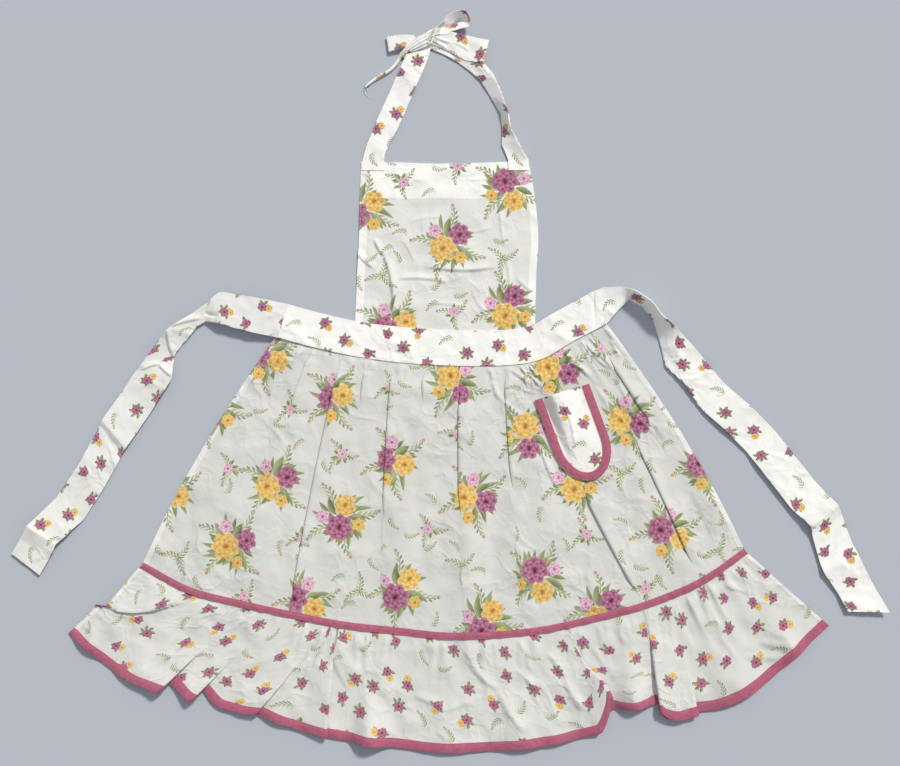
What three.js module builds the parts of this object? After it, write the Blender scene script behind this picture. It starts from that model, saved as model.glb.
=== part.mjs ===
// A frilled kitchen apron that lies spread out on its back, face up, with its neck straps tied in a bow.
// Millimetres. In plan x runs to the right and y towards the neck, and z is the height above the surface.
import * as THREE from "three";

// Thickness of the cloth and of the tape, and the gap kept between pieces that lie on each other
const CLOTH = 1.2;
const TAPE = 1.0;
const GAP = 0.3;
const LAYER = CLOTH + GAP;

// Widths of the tapes and the margins that lie hidden under the waistband
const SEAM_TRIM_WIDTH = 10;
const HEM_BINDING_WIDTH = 11;
const POCKET_BINDING_WIDTH = 11;
const HEM_LIP = GAP + TAPE;
const SKIRT_MARGIN = 12;
const MARGIN_FOLLOW = 0.6;
const RIPPLE_START = 5;

// Colours, roughness and metalness of the two cloths
const PRINTED_COTTON = { color: 0xece9e2, roughness: 0.9, metalness: 0 };
const ROSE_TAPE = { color: 0xb0506c, roughness: 0.85, metalness: 0 };

// The long strip from the left tie's free end, through the waistband, to the right tie's free end.
// lift is the height of its lowest point, roll turns it about its run and curl bends it across, in degrees.
const STRIP = [
  { x: -584, y: -252, width: 49, lift: 3, roll: 0, curl: 12 },
  { x: -560, y: -211, width: 49, lift: 9, roll: 0, curl: -8 },
  { x: -530, y: -178, width: 49, lift: 2, roll: 3, curl: 0 },
  { x: -509, y: -148, width: 49, lift: 1, roll: 3, curl: 10 },
  { x: -476, y: -94, width: 49, lift: 4, roll: 0, curl: -10 },
  { x: -440, y: -31, width: 49, lift: 1, roll: 3, curl: 8 },
  { x: -415, y: 17, width: 49, lift: 3, roll: 6, curl: -40 },
  { x: -396, y: 48, width: 49, lift: 0, roll: 10, curl: -160 },
  { x: -378, y: 71, width: 49, lift: 0, roll: 10, curl: -190 },
  { x: -357, y: 92, width: 49, lift: 1, roll: 6, curl: -175 },
  { x: -330, y: 105, width: 49, lift: 5, roll: 0, curl: -75 },
  { x: -292, y: 100, width: 49, lift: 11, roll: 0, curl: -20 },
  { x: -234, y: 87, width: 49, lift: 6, roll: 0, curl: 0 },
  { x: -185, y: 74, width: 49, lift: 2.2, roll: 0, curl: 0 },
  { x: -125, y: 61, width: 49, lift: 1.5, roll: 0, curl: 0 },
  { x: -60, y: 53, width: 50, lift: 1.5, roll: 0, curl: 0 },
  { x: 13, y: 49, width: 50, lift: 1.5, roll: 0, curl: 0 },
  { x: 80, y: 50, width: 50, lift: 1.5, roll: 0, curl: 0 },
  { x: 121, y: 57, width: 49, lift: 1.5, roll: 0, curl: 0 },
  { x: 160, y: 79, width: 48, lift: 3, roll: 0, curl: 0 },
  { x: 207, y: 104, width: 49, lift: 5, roll: 0, curl: -15 },
  { x: 229, y: 118, width: 49, lift: 4, roll: 0, curl: -110 },
  { x: 251, y: 123, width: 49, lift: 0, roll: -8, curl: -235 },
  { x: 271, y: 114, width: 49, lift: 0, roll: -10, curl: -240 },
  { x: 291, y: 94, width: 49, lift: 0, roll: -10, curl: -215 },
  { x: 309, y: 66, width: 49, lift: 0, roll: -6, curl: -150 },
  { x: 327, y: 36, width: 49, lift: 2, roll: 0, curl: -45 },
  { x: 356, y: -1, width: 49, lift: 5, roll: 0, curl: -10 },
  { x: 394, y: -43, width: 49, lift: 3, roll: 4, curl: 8 },
  { x: 434, y: -82, width: 49, lift: 5, roll: 4, curl: -8 },
  { x: 465, y: -124, width: 49, lift: 2, roll: 0, curl: 10 },
  { x: 514, y: -185, width: 49, lift: 8, roll: 0, curl: -8 },
  { x: 532, y: -227, width: 49, lift: 4, roll: 4, curl: 6 },
  { x: 547, y: -269, width: 49, lift: 2, roll: 3, curl: 10 },
  { x: 569, y: -314, width: 49, lift: 4, roll: 0, curl: -12 },
];
const BAND_FIRST = 12;
const BAND_LAST = 20;

// Neck straps, from the bib's top corner to the knot
const STRAP_LEFT = [
  { x: -111, y: 297, width: 30, lift: 1.5, roll: 0, curl: 0 },
  { x: -109, y: 320, width: 30, lift: 1.7, roll: 0, curl: 0 },
  { x: -99, y: 352, width: 30, lift: 4, roll: 0, curl: 10 },
  { x: -86, y: 383, width: 30, lift: 2, roll: 4, curl: -10 },
  { x: -72, y: 412, width: 30, lift: 1, roll: 3, curl: 8 },
  { x: -59, y: 441, width: 30, lift: 2, roll: 0, curl: -15 },
  { x: -47, y: 468, width: 28, lift: 2, roll: 0, curl: -60 },
  { x: -40, y: 485, width: 16, lift: 1, roll: 0, curl: -90 },
];
const STRAP_RIGHT = [
  { x: 99, y: 297, width: 30, lift: 1.5, roll: 0, curl: 0 },
  { x: 97, y: 320, width: 30, lift: 1.7, roll: 4, curl: 0 },
  { x: 87, y: 346, width: 30, lift: 1, roll: 42, curl: 20 },
  { x: 79, y: 369, width: 30, lift: 0, roll: 74, curl: 40 },
  { x: 74, y: 392, width: 30, lift: 0, roll: 98, curl: 40 },
  { x: 65, y: 417, width: 30, lift: 0, roll: 135, curl: 20 },
  { x: 48, y: 443, width: 30, lift: 1, roll: 165, curl: 10 },
  { x: 24, y: 466, width: 30, lift: 1, roll: 180, curl: 10 },
  { x: -3, y: 481, width: 27, lift: 0.4, roll: 180, curl: 10 },
  { x: -20, y: 489, width: 16, lift: 0.4, roll: 180, curl: 20 },
];

// The bow: the eye shaped loop stands on its edge, one tail lies flat and the other is rolled up thin
const KNOT = { x: -35, y: 500, z: 7, long: 11, wide: 10, high: 7 };
const LOOP_EYE = [
  { x: -23, y: 506, width: 16, lift: 6, roll: 88, curl: 0 },
  { x: -12, y: 514, width: 22, lift: 3, roll: 84, curl: 0 },
  { x: 0, y: 525, width: 24, lift: 1, roll: 78, curl: 10 },
  { x: 16, y: 532, width: 24, lift: 0, roll: 74, curl: 10 },
  { x: 24, y: 525, width: 24, lift: 0, roll: 74, curl: 10 },
  { x: 16, y: 515, width: 24, lift: 1, roll: 78, curl: 10 },
  { x: -4, y: 507, width: 20, lift: 6, roll: 84, curl: 0 },
  { x: -20, y: 500, width: 14, lift: 8, roll: 88, curl: 0 },
];
const TAIL_FLAT = [
  { x: -21, y: 494, width: 12, lift: 3, roll: 0, curl: -40 },
  { x: -7, y: 492, width: 22, lift: 3.5, roll: 0, curl: -30 },
  { x: 14, y: 489, width: 30, lift: 4, roll: 0, curl: -20 },
  { x: 36, y: 485, width: 30, lift: 6, roll: 4, curl: -10 },
  { x: 52, y: 482, width: 30, lift: 6, roll: 6, curl: 12 },
];
const TAIL_THIN = [
  { x: -49, y: 492, width: 12, lift: 4, roll: 0, curl: 130 },
  { x: -58, y: 485, width: 20, lift: 2, roll: 10, curl: 230 },
  { x: -69, y: 472, width: 25, lift: 0, roll: 30, curl: 290 },
  { x: -83, y: 455, width: 24, lift: 0, roll: 60, curl: 300 },
  { x: -102, y: 440, width: 20, lift: 0, roll: 90, curl: 300 },
  { x: -124, y: 426, width: 16, lift: 0, roll: 120, curl: 300 },
];
// The other loop is folded flat: it runs out from the knot and back over itself
const LOOP_FLAT = { x: -49, y: 495, heading: 188, reach: 41, rise: 7, lift: 9, knotWidth: 14, endWidth: 25 };

// Bib: a row for each level from its top hem down to the margin under the waistband
const BIB = [
  { y: 317, left: -127, right: 117 },
  { y: 262, left: -128, right: 121 },
  { y: 206, left: -129, right: 125 },
  { y: 156, left: -131, right: 122 },
  { y: 100, left: -133, right: 120 },
  { y: 60, left: -135, right: 119 },
];
const BIB_TOP_DIP = 3;
// Soft creases of the bib: the middle, direction, half length, half width and height of each ridge
const BIB_CREASES = [
  { x: 16, y: 164, direction: 0, reach: 62, span: 15, height: 3 },
  { x: -38, y: 136, direction: -4, reach: 50, span: 13, height: 2 },
  { x: -86, y: 140, direction: -82, reach: 62, span: 14, height: 4 },
  { x: -114, y: 172, direction: -45, reach: 28, span: 13, height: 4 },
  { x: 78, y: 190, direction: -88, reach: 100, span: 13, height: 2 },
];

// Ribs run down the skirt and ruffle, a row for each from the left edge to the right one.
// bow is how far the rib swings sideways between waistband and seam.
const RIBS = [
  { seamX: -424, seamY: -252, hemX: -521, hemY: -343, bow: -12 },
  { seamX: -358, seamY: -286, hemX: -444, hemY: -402, bow: -6 },
  { seamX: -288, seamY: -304, hemX: -356, hemY: -431, bow: -2 },
  { seamX: -220, seamY: -318, hemX: -265, hemY: -454, bow: 0 },
  { seamX: -151, seamY: -332, hemX: -172, hemY: -480, bow: 0 },
  { seamX: -79, seamY: -340, hemX: -88, hemY: -493, bow: 0 },
  { seamX: -10, seamY: -347, hemX: -7, hemY: -501, bow: 0 },
  { seamX: 60, seamY: -346, hemX: 75, hemY: -498, bow: 0 },
  { seamX: 130, seamY: -339, hemX: 152, hemY: -488, bow: 0 },
  { seamX: 202, seamY: -323, hemX: 226, hemY: -470, bow: 2 },
  { seamX: 272, seamY: -304, hemX: 306, hemY: -460, bow: 6 },
  { seamX: 341, seamY: -276, hemX: 409, hemY: -423, bow: 10 },
  { seamX: 407, seamY: -233, hemX: 518, hemY: -333, bow: 12 },
];
const LAST_RIB = RIBS.length - 1;

// Pleats of the skirt: the rib where each would meet the waistband and the seam, the part of the way down
// that it runs over, its half width, its height and how far its crest leans to the right
const SKIRT_FOLDS = [
  { waistRib: 0.7, seamRib: 0.9, from: 0.35, to: 0.95, span: 34, height: 4, lean: 0 },
  { waistRib: 2.5, seamRib: 3.0, from: 0.06, to: 0.98, span: 30, height: 8, lean: -16 },
  { waistRib: 4.2, seamRib: 4.8, from: 0.04, to: 0.96, span: 28, height: 7, lean: -12 },
  { waistRib: 6.0, seamRib: 6.4, from: 0.06, to: 0.96, span: 36, height: 7, lean: 10 },
  { waistRib: 7.6, seamRib: 7.5, from: 0.04, to: 0.92, span: 26, height: 6, lean: 9 },
  { waistRib: 8.7, seamRib: 9.3, from: 0.55, to: 0.98, span: 30, height: 6, lean: -8 },
  { waistRib: 9.2, seamRib: 10.1, from: 0.52, to: 0.99, span: 24, height: 7, lean: -12 },
  { waistRib: 11.1, seamRib: 11.6, from: 0.12, to: 0.5, span: 24, height: 6, lean: 8 },
  { waistRib: 11.0, seamRib: 11.1, from: 0.4, to: 0.96, span: 26, height: 6, lean: -10 },
];
// Waves of the seam itself, which skirt, trim and ruffle share
const SEAM_WAVES = [
  { rib: 2.9, span: 60, height: 3 },
  { rib: 6.4, span: 80, height: 3 },
  { rib: 9.6, span: 60, height: 3 },
  { rib: 11.2, span: 60, height: 2 },
];
// Folds of the ruffle, in order along its hem: the part of the way down where each begins, its half width,
// its height, how far its crest leans along the hem and how far the hem draws back beside it
const RUFFLE_FOLDS = [
  { rib: 0.25, from: 0.1, span: 30, height: 8, lean: 0, notch: 0 },
  { rib: 1.35, from: 0.25, span: 34, height: 14, lean: 17, notch: 14 },
  { rib: 1.95, from: 0.35, span: 28, height: 12, lean: 14, notch: 14 },
  { rib: 2.85, from: 0.2, span: 34, height: 12, lean: 17, notch: 6 },
  { rib: 3.85, from: 0.1, span: 34, height: 11, lean: 17, notch: 0 },
  { rib: 4.75, from: 0.45, span: 34, height: 17, lean: 0, notch: 4 },
  { rib: 6.0, from: 0.3, span: 44, height: 5, lean: 0, notch: 0 },
  { rib: 7.3, from: 0.2, span: 44, height: 7, lean: 0, notch: 0 },
  { rib: 8.55, from: 0.15, span: 44, height: 17, lean: 18, notch: 25 },
  { rib: 9.45, from: 0.3, span: 30, height: 12, lean: -14, notch: 6 },
  { rib: 10.9, from: 0.2, span: 60, height: 8, lean: 0, notch: 0 },
  { rib: 11.6, from: 0.3, span: 36, height: 6, lean: 0, notch: 0 },
];
// Small even gathers along the waistband and along the ruffle's seam
const WAIST_GATHERS = { count: 11, height: 3.2, end: 0.32 };
const SEAM_GATHERS = { count: 15, height: 3.5, end: 0.55 };

// Pocket: the middle of its mouth, its tilt in degrees, its size, how far its mouth stands open, over which
// part of its depth, and how far round it the skirt lies calm
const POCKET = {
  x: 156, y: -13, tilt: 17, half: 39, depth: 128, round: 54, foot: 10, sway: 6,
  gape: 10, gapeReach: 0.9, calmSide: 14, calmEnd: 42,
};
// The tape on its edge: how far it passes that edge, and the share of its run that each straight side takes
const POCKET_TAPE = { past: 1, sideShare: 0.3 };

// Parts of the way down over which the skirt settles from the waistband, and its folds begin and end
const SKIRT_SETTLE = 0.12;
const FOLD_BEGIN = 0.06;
const FOLD_EASE = 0.12;
const FOLD_END = 0.985;
const FOLD_FADE = 0.1;
const SEAM_FROM = 0.6;
const GATHER_EASE = 0.08;
// Levels at the bib's top and foot over which its creases fade, and where a notch lies beside its fold
const BIB_CALM = 0.6;
const NOTCH_SIDE = 0.7;

// How finely each surface is divided, and the small steps that give its directions
const RIB_CELLS = 58;
const HEM_SAMPLES = 1600;
const SECTION_CELLS = 24;
const RUN_STEP = 1e-3;
const RIB_STEP = 0.05;
const LEAST_BEND = 1e-4;

const lerp = THREE.MathUtils.lerp;
const rad = THREE.MathUtils.degToRad;
const ease = (x) => THREE.MathUtils.smoothstep(x, 0, 1);
const bump = (q) => (Math.abs(q) < 1 ? Math.cos((q * Math.PI) / 2) ** 2 : 0);
const steps = (count, from = 0, to = 1) =>
  Array.from({ length: count + 1 }, (_, i) => lerp(from, to, i / count));

// One column of a table at a place between its rows, on a smooth curve through all of them
function column(rows, name, place) {
  const last = rows.length - 1;
  const row = THREE.MathUtils.clamp(Math.floor(place), 0, last - 1);
  const t = place - row;
  const b = rows[row][name];
  const c = rows[row + 1][name];
  const a = row > 0 ? rows[row - 1][name] : 2 * b - c;
  const d = row + 1 < last ? rows[row + 2][name] : 2 * c - b;
  return b + 0.5 * t * (c - a + t * (2 * a - 5 * b + 4 * c - d + t * (3 * (b - c) + d - a)));
}

// Points of a surface on a grid, with upward normals from each point's neighbours: us across from left to
// right, vs downwards
function grid(surface, us, vs) {
  const points = vs.map((v) => us.map((u) => surface(u, v)));
  const across = (row, j) => (row[j + 1] ?? row[j]).clone().sub(row[j - 1] ?? row[j]);
  const downward = (i, j) => (points[i + 1] ?? points[i])[j].clone().sub((points[i - 1] ?? points[i])[j]);
  return points.map((row, i) =>
    row.map((point, j) => ({ point, normal: downward(i, j).cross(across(row, j)).normalize() })),
  );
}

const raised = ({ point, normal }, height) => point.clone().addScaledVector(normal, height);

// Closed solid from rings of points: each ring is one cross section, and quads close its two ends.
// Where the ring runs back, its quads are split the other way, so that both faces of a wall match.
function sweep(rings, endQuads, runsBack) {
  const size = rings[0].length;
  const index = [];
  const quad = (a, b, c, d) => index.push(a, b, c, a, c, d);
  for (let i = 0; i + 1 < rings.length; i++) {
    for (let k = 0; k < size; k++) {
      const next = (k + 1) % size;
      const corners = [i * size + k, i * size + next, (i + 1) * size + next, (i + 1) * size + k];
      if (runsBack(k)) corners.push(corners.shift());
      quad(...corners);
    }
  }
  const far = (rings.length - 1) * size;
  for (const [a, b, c, d] of endQuads) {
    quad(d, c, b, a);
    quad(far + a, far + b, far + c, far + d);
  }
  const geometry = new THREE.BufferGeometry();
  geometry.setFromPoints(rings.flat());
  geometry.setIndex(index);
  geometry.computeVertexNormals();
  return geometry;
}

// Cloth wall of even thickness on both sides of a grid of points
function wall(rows, thickness, offset = 0) {
  const count = rows.length;
  const top = offset + thickness / 2;
  const under = offset - thickness / 2;
  const rings = rows[0].map((_, j) => [
    ...rows.map((row) => raised(row[j], top)),
    ...rows.map((row) => raised(row[j], under)).reverse(),
  ]);
  const ends = rows.slice(1).map((_, k) => [k, k + 1, 2 * count - 2 - k, 2 * count - 1 - k]);
  return sweep(rings, ends, (k) => k >= count);
}

// A strip that follows a table of sections: its surface at a place along the rows and a share across,
// from -0.5 on the right hand to 0.5 on the left hand of its run
function stripSurface(rows) {
  const section = (place, across) => {
    const angle = rad(column(rows, "curl", place));
    const width = column(rows, "width", place);
    const bend = Math.abs(angle) < LEAST_BEND ? LEAST_BEND : angle;
    const radius = width / bend;
    const side = radius * Math.sin(bend * across);
    const up = radius * (1 - Math.cos(bend * across));
    const roll = rad(column(rows, "roll", place));
    return {
      side: side * Math.cos(roll) - up * Math.sin(roll),
      up: side * Math.sin(roll) + up * Math.cos(roll),
    };
  };
  const shares = steps(SECTION_CELLS, -0.5, 0.5);
  return (place, across) => {
    const x = (p) => column(rows, "x", p);
    const y = (p) => column(rows, "y", p);
    const before = place - RUN_STEP;
    const after = place + RUN_STEP;
    const run = new THREE.Vector2(x(after) - x(before), y(after) - y(before));
    run.normalize();
    const parts = shares.map((share) => section(place, share));
    const lowest = Math.min(...parts.map((part) => part.up));
    const middle = (Math.min(...parts.map((p) => p.side)) + Math.max(...parts.map((p) => p.side))) / 2;
    const { side, up } = section(place, across);
    const lift = Math.max(0, column(rows, "lift", place));
    const out = side - middle;
    return new THREE.Vector3(
      x(place) - run.y * out,
      y(place) + run.x * out,
      lift + up - lowest + CLOTH / 2,
    );
  };
}

// Wall of a stretch of a strip, with its face up where it isn't rolled
function stripWall(rows, cells, acrossCells, from = 0, to = rows.length - 1) {
  const surface = stripSurface(rows);
  const places = steps(cells, from, to);
  const shares = steps(acrossCells, 0.5, -0.5);
  return wall(grid(surface, places, shares), CLOTH);
}

// Bib
function bibPoint(across, level) {
  const left = column(BIB, "left", level);
  const right = column(BIB, "right", level);
  const x = lerp(left, right, across);
  const dip = BIB_TOP_DIP * bump(2 * across - 1) * Math.max(0, 1 - level);
  const y = column(BIB, "y", level) - dip;
  const lastLevel = BIB.length - 1;
  const free = ease(level / BIB_CALM) * ease((lastLevel - BIB_CALM - level) / BIB_CALM);
  let z = CLOTH / 2;
  for (const crease of BIB_CREASES) {
    const angle = rad(crease.direction);
    const dx = x - crease.x;
    const dy = y - crease.y;
    const run = dx * Math.cos(angle) + dy * Math.sin(angle);
    const off = dy * Math.cos(angle) - dx * Math.sin(angle);
    z += free * crease.height * bump(run / crease.reach) * bump(off / crease.span);
  }
  return new THREE.Vector3(x, y, z);
}

function bib() {
  return wall(grid(bibPoint, steps(14), steps(14, 0, BIB.length - 1)), CLOTH);
}

// Skirt and ruffle share the ribs and the seam
const strip = stripSurface(STRIP);

function seamPoint(rib) {
  const spacing = column(RIBS, "seamX", rib + 0.5) - column(RIBS, "seamX", rib - 0.5);
  let z = CLOTH / 2;
  for (const wave of SEAM_WAVES) z += wave.height * bump(((rib - wave.rib) * spacing) / wave.span);
  return new THREE.Vector3(column(RIBS, "seamX", rib), column(RIBS, "seamY", rib), z);
}

function waistPoint(rib) {
  const place = lerp(BAND_FIRST, BAND_LAST, rib / LAST_RIB);
  const width = column(STRIP, "width", place);
  const point = strip(place, SKIRT_MARGIN / width - 0.5);
  point.z = Math.max(CLOTH / 2, lerp(CLOTH / 2, point.z - LAYER, MARGIN_FOLLOW));
  return point;
}

const gathers = ({ count, height, end }, rib, down, start) => {
  const wave = 0.5 - 0.5 * Math.cos((2 * Math.PI * count * rib) / LAST_RIB);
  return height * wave * ease((down - start) / GATHER_EASE) * ease((end - down) / end);
};

// Share of the skirt's waves that is left at a place: none under the pocket, all well beside it
function besidePocket({ x, y }) {
  const angle = rad(POCKET.tilt);
  const dx = x - POCKET.x;
  const dy = y - POCKET.y;
  const depth = dx * Math.sin(angle) - dy * Math.cos(angle);
  const offset = dx * Math.cos(angle) + dy * Math.sin(angle) - (POCKET.sway * depth) / POCKET.depth;
  const beside = Math.abs(offset) - POCKET.half - POCKET.calmSide;
  const beyond = Math.abs(depth - POCKET.depth / 2) - POCKET.depth / 2 - POCKET.calmEnd;
  return ease(Math.max(beside, beyond) / POCKET.calmSide);
}

const SKIRT_LENGTH = 380;
const RIPPLE_DOWN = (SKIRT_MARGIN + RIPPLE_START) / SKIRT_LENGTH;

function skirtPoint(rib, down) {
  const waist = waistPoint(rib);
  const seam = seamPoint(rib);
  const point = waist.clone().lerp(seam, down);
  point.x += column(RIBS, "bow", rib) * 4 * down * (1 - down);
  const settle = ease((down - RIPPLE_DOWN) / SKIRT_SETTLE);
  const rest = ease((down - SEAM_FROM) / (1 - SEAM_FROM));
  point.z = lerp(waist.z, CLOTH / 2, settle) + (seam.z - CLOTH / 2) * rest;
  const spacing = lerp(waistPoint(1).distanceTo(waistPoint(0)), seamPoint(7).x - seamPoint(6).x, down);
  const calm = besidePocket(point);
  const free = calm * ease((down - RIPPLE_DOWN) / FOLD_BEGIN) * ease((FOLD_END - down) / FOLD_FADE);
  for (const fold of SKIRT_FOLDS) {
    const off = (rib - lerp(fold.waistRib, fold.seamRib, down)) * spacing;
    const strength = free * ease((down - fold.from) / FOLD_EASE) * ease((fold.to - down) / FOLD_EASE);
    const crest = bump(off / fold.span) * strength;
    point.z += fold.height * crest;
    point.x += fold.lean * crest;
  }
  point.z += calm * gathers(WAIST_GATHERS, rib, down, RIPPLE_DOWN);
  return point;
}

const RUFFLE_LENGTH = 150;
const TRIM_SHARE = SEAM_TRIM_WIDTH / 2 / RUFFLE_LENGTH;
const SEAM_RIPPLE_DOWN = 1.3 * TRIM_SHARE;
const HEM_HEIGHT = CLOTH / 2 + GAP + TAPE + GAP;

function rufflePoint(rib, down) {
  const seam = seamPoint(rib);
  const hem = new THREE.Vector3(column(RIBS, "hemX", rib), column(RIBS, "hemY", rib), HEM_HEIGHT);
  const hemRun = new THREE.Vector3(
    column(RIBS, "hemX", rib + RIB_STEP) - column(RIBS, "hemX", rib - RIB_STEP),
    column(RIBS, "hemY", rib + RIB_STEP) - column(RIBS, "hemY", rib - RIB_STEP),
    0,
  );
  const spacing = hemRun.length() / (2 * RIB_STEP);
  hemRun.normalize();
  const point = seam.clone().lerp(hem, down);
  const inward = seam.clone().sub(hem).setZ(0).normalize();
  for (const fold of RUFFLE_FOLDS) {
    const off = ((rib - fold.rib) * spacing) / fold.span;
    const grow = ease((down - fold.from) / (1 - fold.from));
    point.z += fold.height * bump(off) * grow;
    point.addScaledVector(hemRun, fold.lean * bump(off) * grow);
    point.addScaledVector(inward, fold.notch * bump(off - NOTCH_SIDE) * grow);
  }
  point.z += gathers(SEAM_GATHERS, rib, down, SEAM_RIPPLE_DOWN);
  return point;
}

// Ribs that divide the hem into equal lengths, so that each fold gets enough of them
function evenRibs(count) {
  const fine = steps(HEM_SAMPLES, 0, LAST_RIB);
  const reached = [0];
  fine.slice(1).forEach((rib, i) => {
    reached.push(reached[i] + rufflePoint(rib, 1).distanceTo(rufflePoint(fine[i], 1)));
  });
  let i = 0;
  return steps(count, 0, reached.at(-1)).map((length) => {
    while (i + 2 < fine.length && reached[i + 1] < length) i++;
    return lerp(fine[i], fine[i + 1], (length - reached[i]) / (reached[i + 1] - reached[i]));
  });
}
const ribs = evenRibs(RIB_CELLS);

const SKIRT_END = 1 - GAP / 2 / SKIRT_LENGTH;
const SKIRT_TRIM = 1 - SEAM_TRIM_WIDTH / 2 / SKIRT_LENGTH;
const RUFFLE_START = GAP / 2 / RUFFLE_LENGTH;
const BINDING_SHARE = 1 - HEM_BINDING_WIDTH / RUFFLE_LENGTH;

// Rows of cells: from the waistband's edge to just above the trim, and down the ruffle's open part
const SKIRT_ROWS = steps(8, RIPPLE_DOWN, 0.93);
const RUFFLE_ROWS = steps(4, 0.16, BINDING_SHARE);
const skirtGrid = grid(skirtPoint, ribs, [0, ...SKIRT_ROWS, SKIRT_TRIM, SKIRT_END]);
const ruffleGrid = grid(rufflePoint, ribs, [RUFFLE_START, TRIM_SHARE, ...RUFFLE_ROWS, 1]);

// Tape that lies over the seam, on the edges of skirt and ruffle
function seamTrim() {
  return wall([skirtGrid.at(-2), ruffleGrid[1]], TAPE, CLOTH / 2 + GAP + TAPE / 2 + GAP);
}

// Binding folded round the hem: a slot for the ruffle's edge between an upper and an under layer
function ruffleBinding() {
  const [inner, hem] = ruffleGrid.slice(-2);
  const near = CLOTH / 2 + GAP;
  const far = near + TAPE;
  const rings = inner.map((edge, j) => {
    const outward = hem[j].point.clone().sub(edge.point).normalize();
    const past = (height, distance) => raised(hem[j], height).addScaledVector(outward, distance);
    return [
      raised(edge, far),
      past(far, HEM_LIP),
      past(-far, HEM_LIP),
      raised(edge, -far),
      raised(edge, -near),
      past(-near, GAP),
      past(near, GAP),
      raised(edge, near),
    ];
  });
  return sweep(rings, [[0, 1, 6, 7], [1, 2, 5, 6], [2, 3, 4, 5]], (k) => k === 2 || k === 6);
}

// Pocket: its half width narrows to a rounded foot, and its mouth stands open
function pocketHalf(depth) {
  const past = Math.max(0, depth - (POCKET.depth - POCKET.round)) / POCKET.round;
  return Math.max(POCKET.foot, POCKET.half * Math.sqrt(Math.max(0, 1 - past ** 2)));
}

function pocketPlan(offset, depth, height) {
  const angle = rad(POCKET.tilt);
  const out = offset + (POCKET.sway * depth) / POCKET.depth;
  return new THREE.Vector3(
    POCKET.x + out * Math.cos(angle) + depth * Math.sin(angle),
    POCKET.y + out * Math.sin(angle) - depth * Math.cos(angle),
    height,
  );
}

function pocketHeight(offset, depth) {
  const across = Math.max(0, 1 - (offset / POCKET.half) ** 2);
  const down = Math.max(0, 1 - depth / (POCKET.depth * POCKET.gapeReach));
  return LAYER + CLOTH / 2 + POCKET.gape * across * down;
}

function pocketPoint(across, depth) {
  const offset = across * pocketHalf(depth);
  return pocketPlan(offset, depth, pocketHeight(offset, depth));
}

function pocket() {
  return wall(grid(pocketPoint, steps(10, -1, 1), steps(10, 0, POCKET.depth)), CLOTH);
}

// Tape round the pocket's edge: down the left side, round the foot and up the right side
function pocketBinding() {
  const { past, sideShare } = POCKET_TAPE;
  const straight = POCKET.depth - POCKET.round;
  const surface = (turn, inset) => {
    const arc = THREE.MathUtils.clamp((turn - sideShare) / (1 - 2 * sideShare), 0, 1);
    const angle = Math.PI * (1 - arc);
    const side = Math.min(turn, 1 - turn) / sideShare;
    const offset = Math.cos(angle) * (POCKET.half - inset);
    const depth = side < 1 ? side * straight : straight + Math.sin(angle) * (POCKET.round - inset);
    return pocketPlan(offset, depth, pocketHeight(offset, depth));
  };
  const inner = POCKET_BINDING_WIDTH - past;
  const rows = grid(surface, steps(26), [inner, inner / 2, -past]);
  return wall(rows, TAPE, CLOTH / 2 + 2 * GAP + TAPE / 2);
}

// Loop of the bow that is folded flat: out along the surface and back above it
function flatLoop() {
  const heading = rad(LOOP_FLAT.heading);
  const surface = (turn, across) => {
    const reach = LOOP_FLAT.reach * Math.sin(Math.PI * turn);
    const rise = LOOP_FLAT.rise * (turn - Math.sin(2 * Math.PI * turn) / (2 * Math.PI));
    const width = lerp(LOOP_FLAT.knotWidth, LOOP_FLAT.endWidth, reach / LOOP_FLAT.reach);
    return new THREE.Vector3(
      LOOP_FLAT.x + reach * Math.cos(heading) - across * width * Math.sin(heading),
      LOOP_FLAT.y + reach * Math.sin(heading) + across * width * Math.cos(heading),
      LOOP_FLAT.lift + rise + CLOTH / 2,
    );
  };
  return wall(grid(surface, steps(16), steps(3, 0.5, -0.5)), CLOTH);
}

// Knot: a rounded lump of tightly wrapped cloth
function knot() {
  const lump = new THREE.SphereGeometry(1, 14, 8);
  lump.scale(KNOT.long, KNOT.wide, KNOT.high);
  lump.translate(KNOT.x, KNOT.y, KNOT.z);
  return lump;
}

const BUTT = 0.003;
const pieces = [
  ["bib", bib(), PRINTED_COTTON],
  ["skirt", wall(skirtGrid, CLOTH), PRINTED_COTTON],
  ["waistband", stripWall(STRIP, 22, 3, BAND_FIRST + BUTT, BAND_LAST - BUTT), PRINTED_COTTON],
  ["waist_tie_left", stripWall(STRIP, 26, 5, 0, BAND_FIRST - BUTT), PRINTED_COTTON],
  ["waist_tie_right", stripWall(STRIP, 30, 5, BAND_LAST + BUTT), PRINTED_COTTON],
  ["neck_strap_left", stripWall(STRAP_LEFT, 16, 4), PRINTED_COTTON],
  ["neck_strap_right", stripWall(STRAP_RIGHT, 22, 4), PRINTED_COTTON],
  ["bow_knot", knot(), PRINTED_COTTON],
  ["bow_loop_left", flatLoop(), PRINTED_COTTON],
  ["bow_loop_right", stripWall(LOOP_EYE, 20, 2), PRINTED_COTTON],
  ["bow_tail_left", stripWall(TAIL_THIN, 12, 7), PRINTED_COTTON],
  ["bow_tail_right", stripWall(TAIL_FLAT, 8, 4), PRINTED_COTTON],
  ["pocket", pocket(), PRINTED_COTTON],
  ["pocket_binding", pocketBinding(), ROSE_TAPE],
  ["seam_trim", seamTrim(), ROSE_TAPE],
  ["ruffle", wall(ruffleGrid, CLOTH), PRINTED_COTTON],
  ["ruffle_binding", ruffleBinding(), ROSE_TAPE],
];

const apron = new THREE.Group();
for (const [name, geometry, finish] of pieces) {
  const mesh = new THREE.Mesh(geometry, new THREE.MeshStandardMaterial(finish));
  mesh.name = name;
  apron.add(mesh);
}

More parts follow.
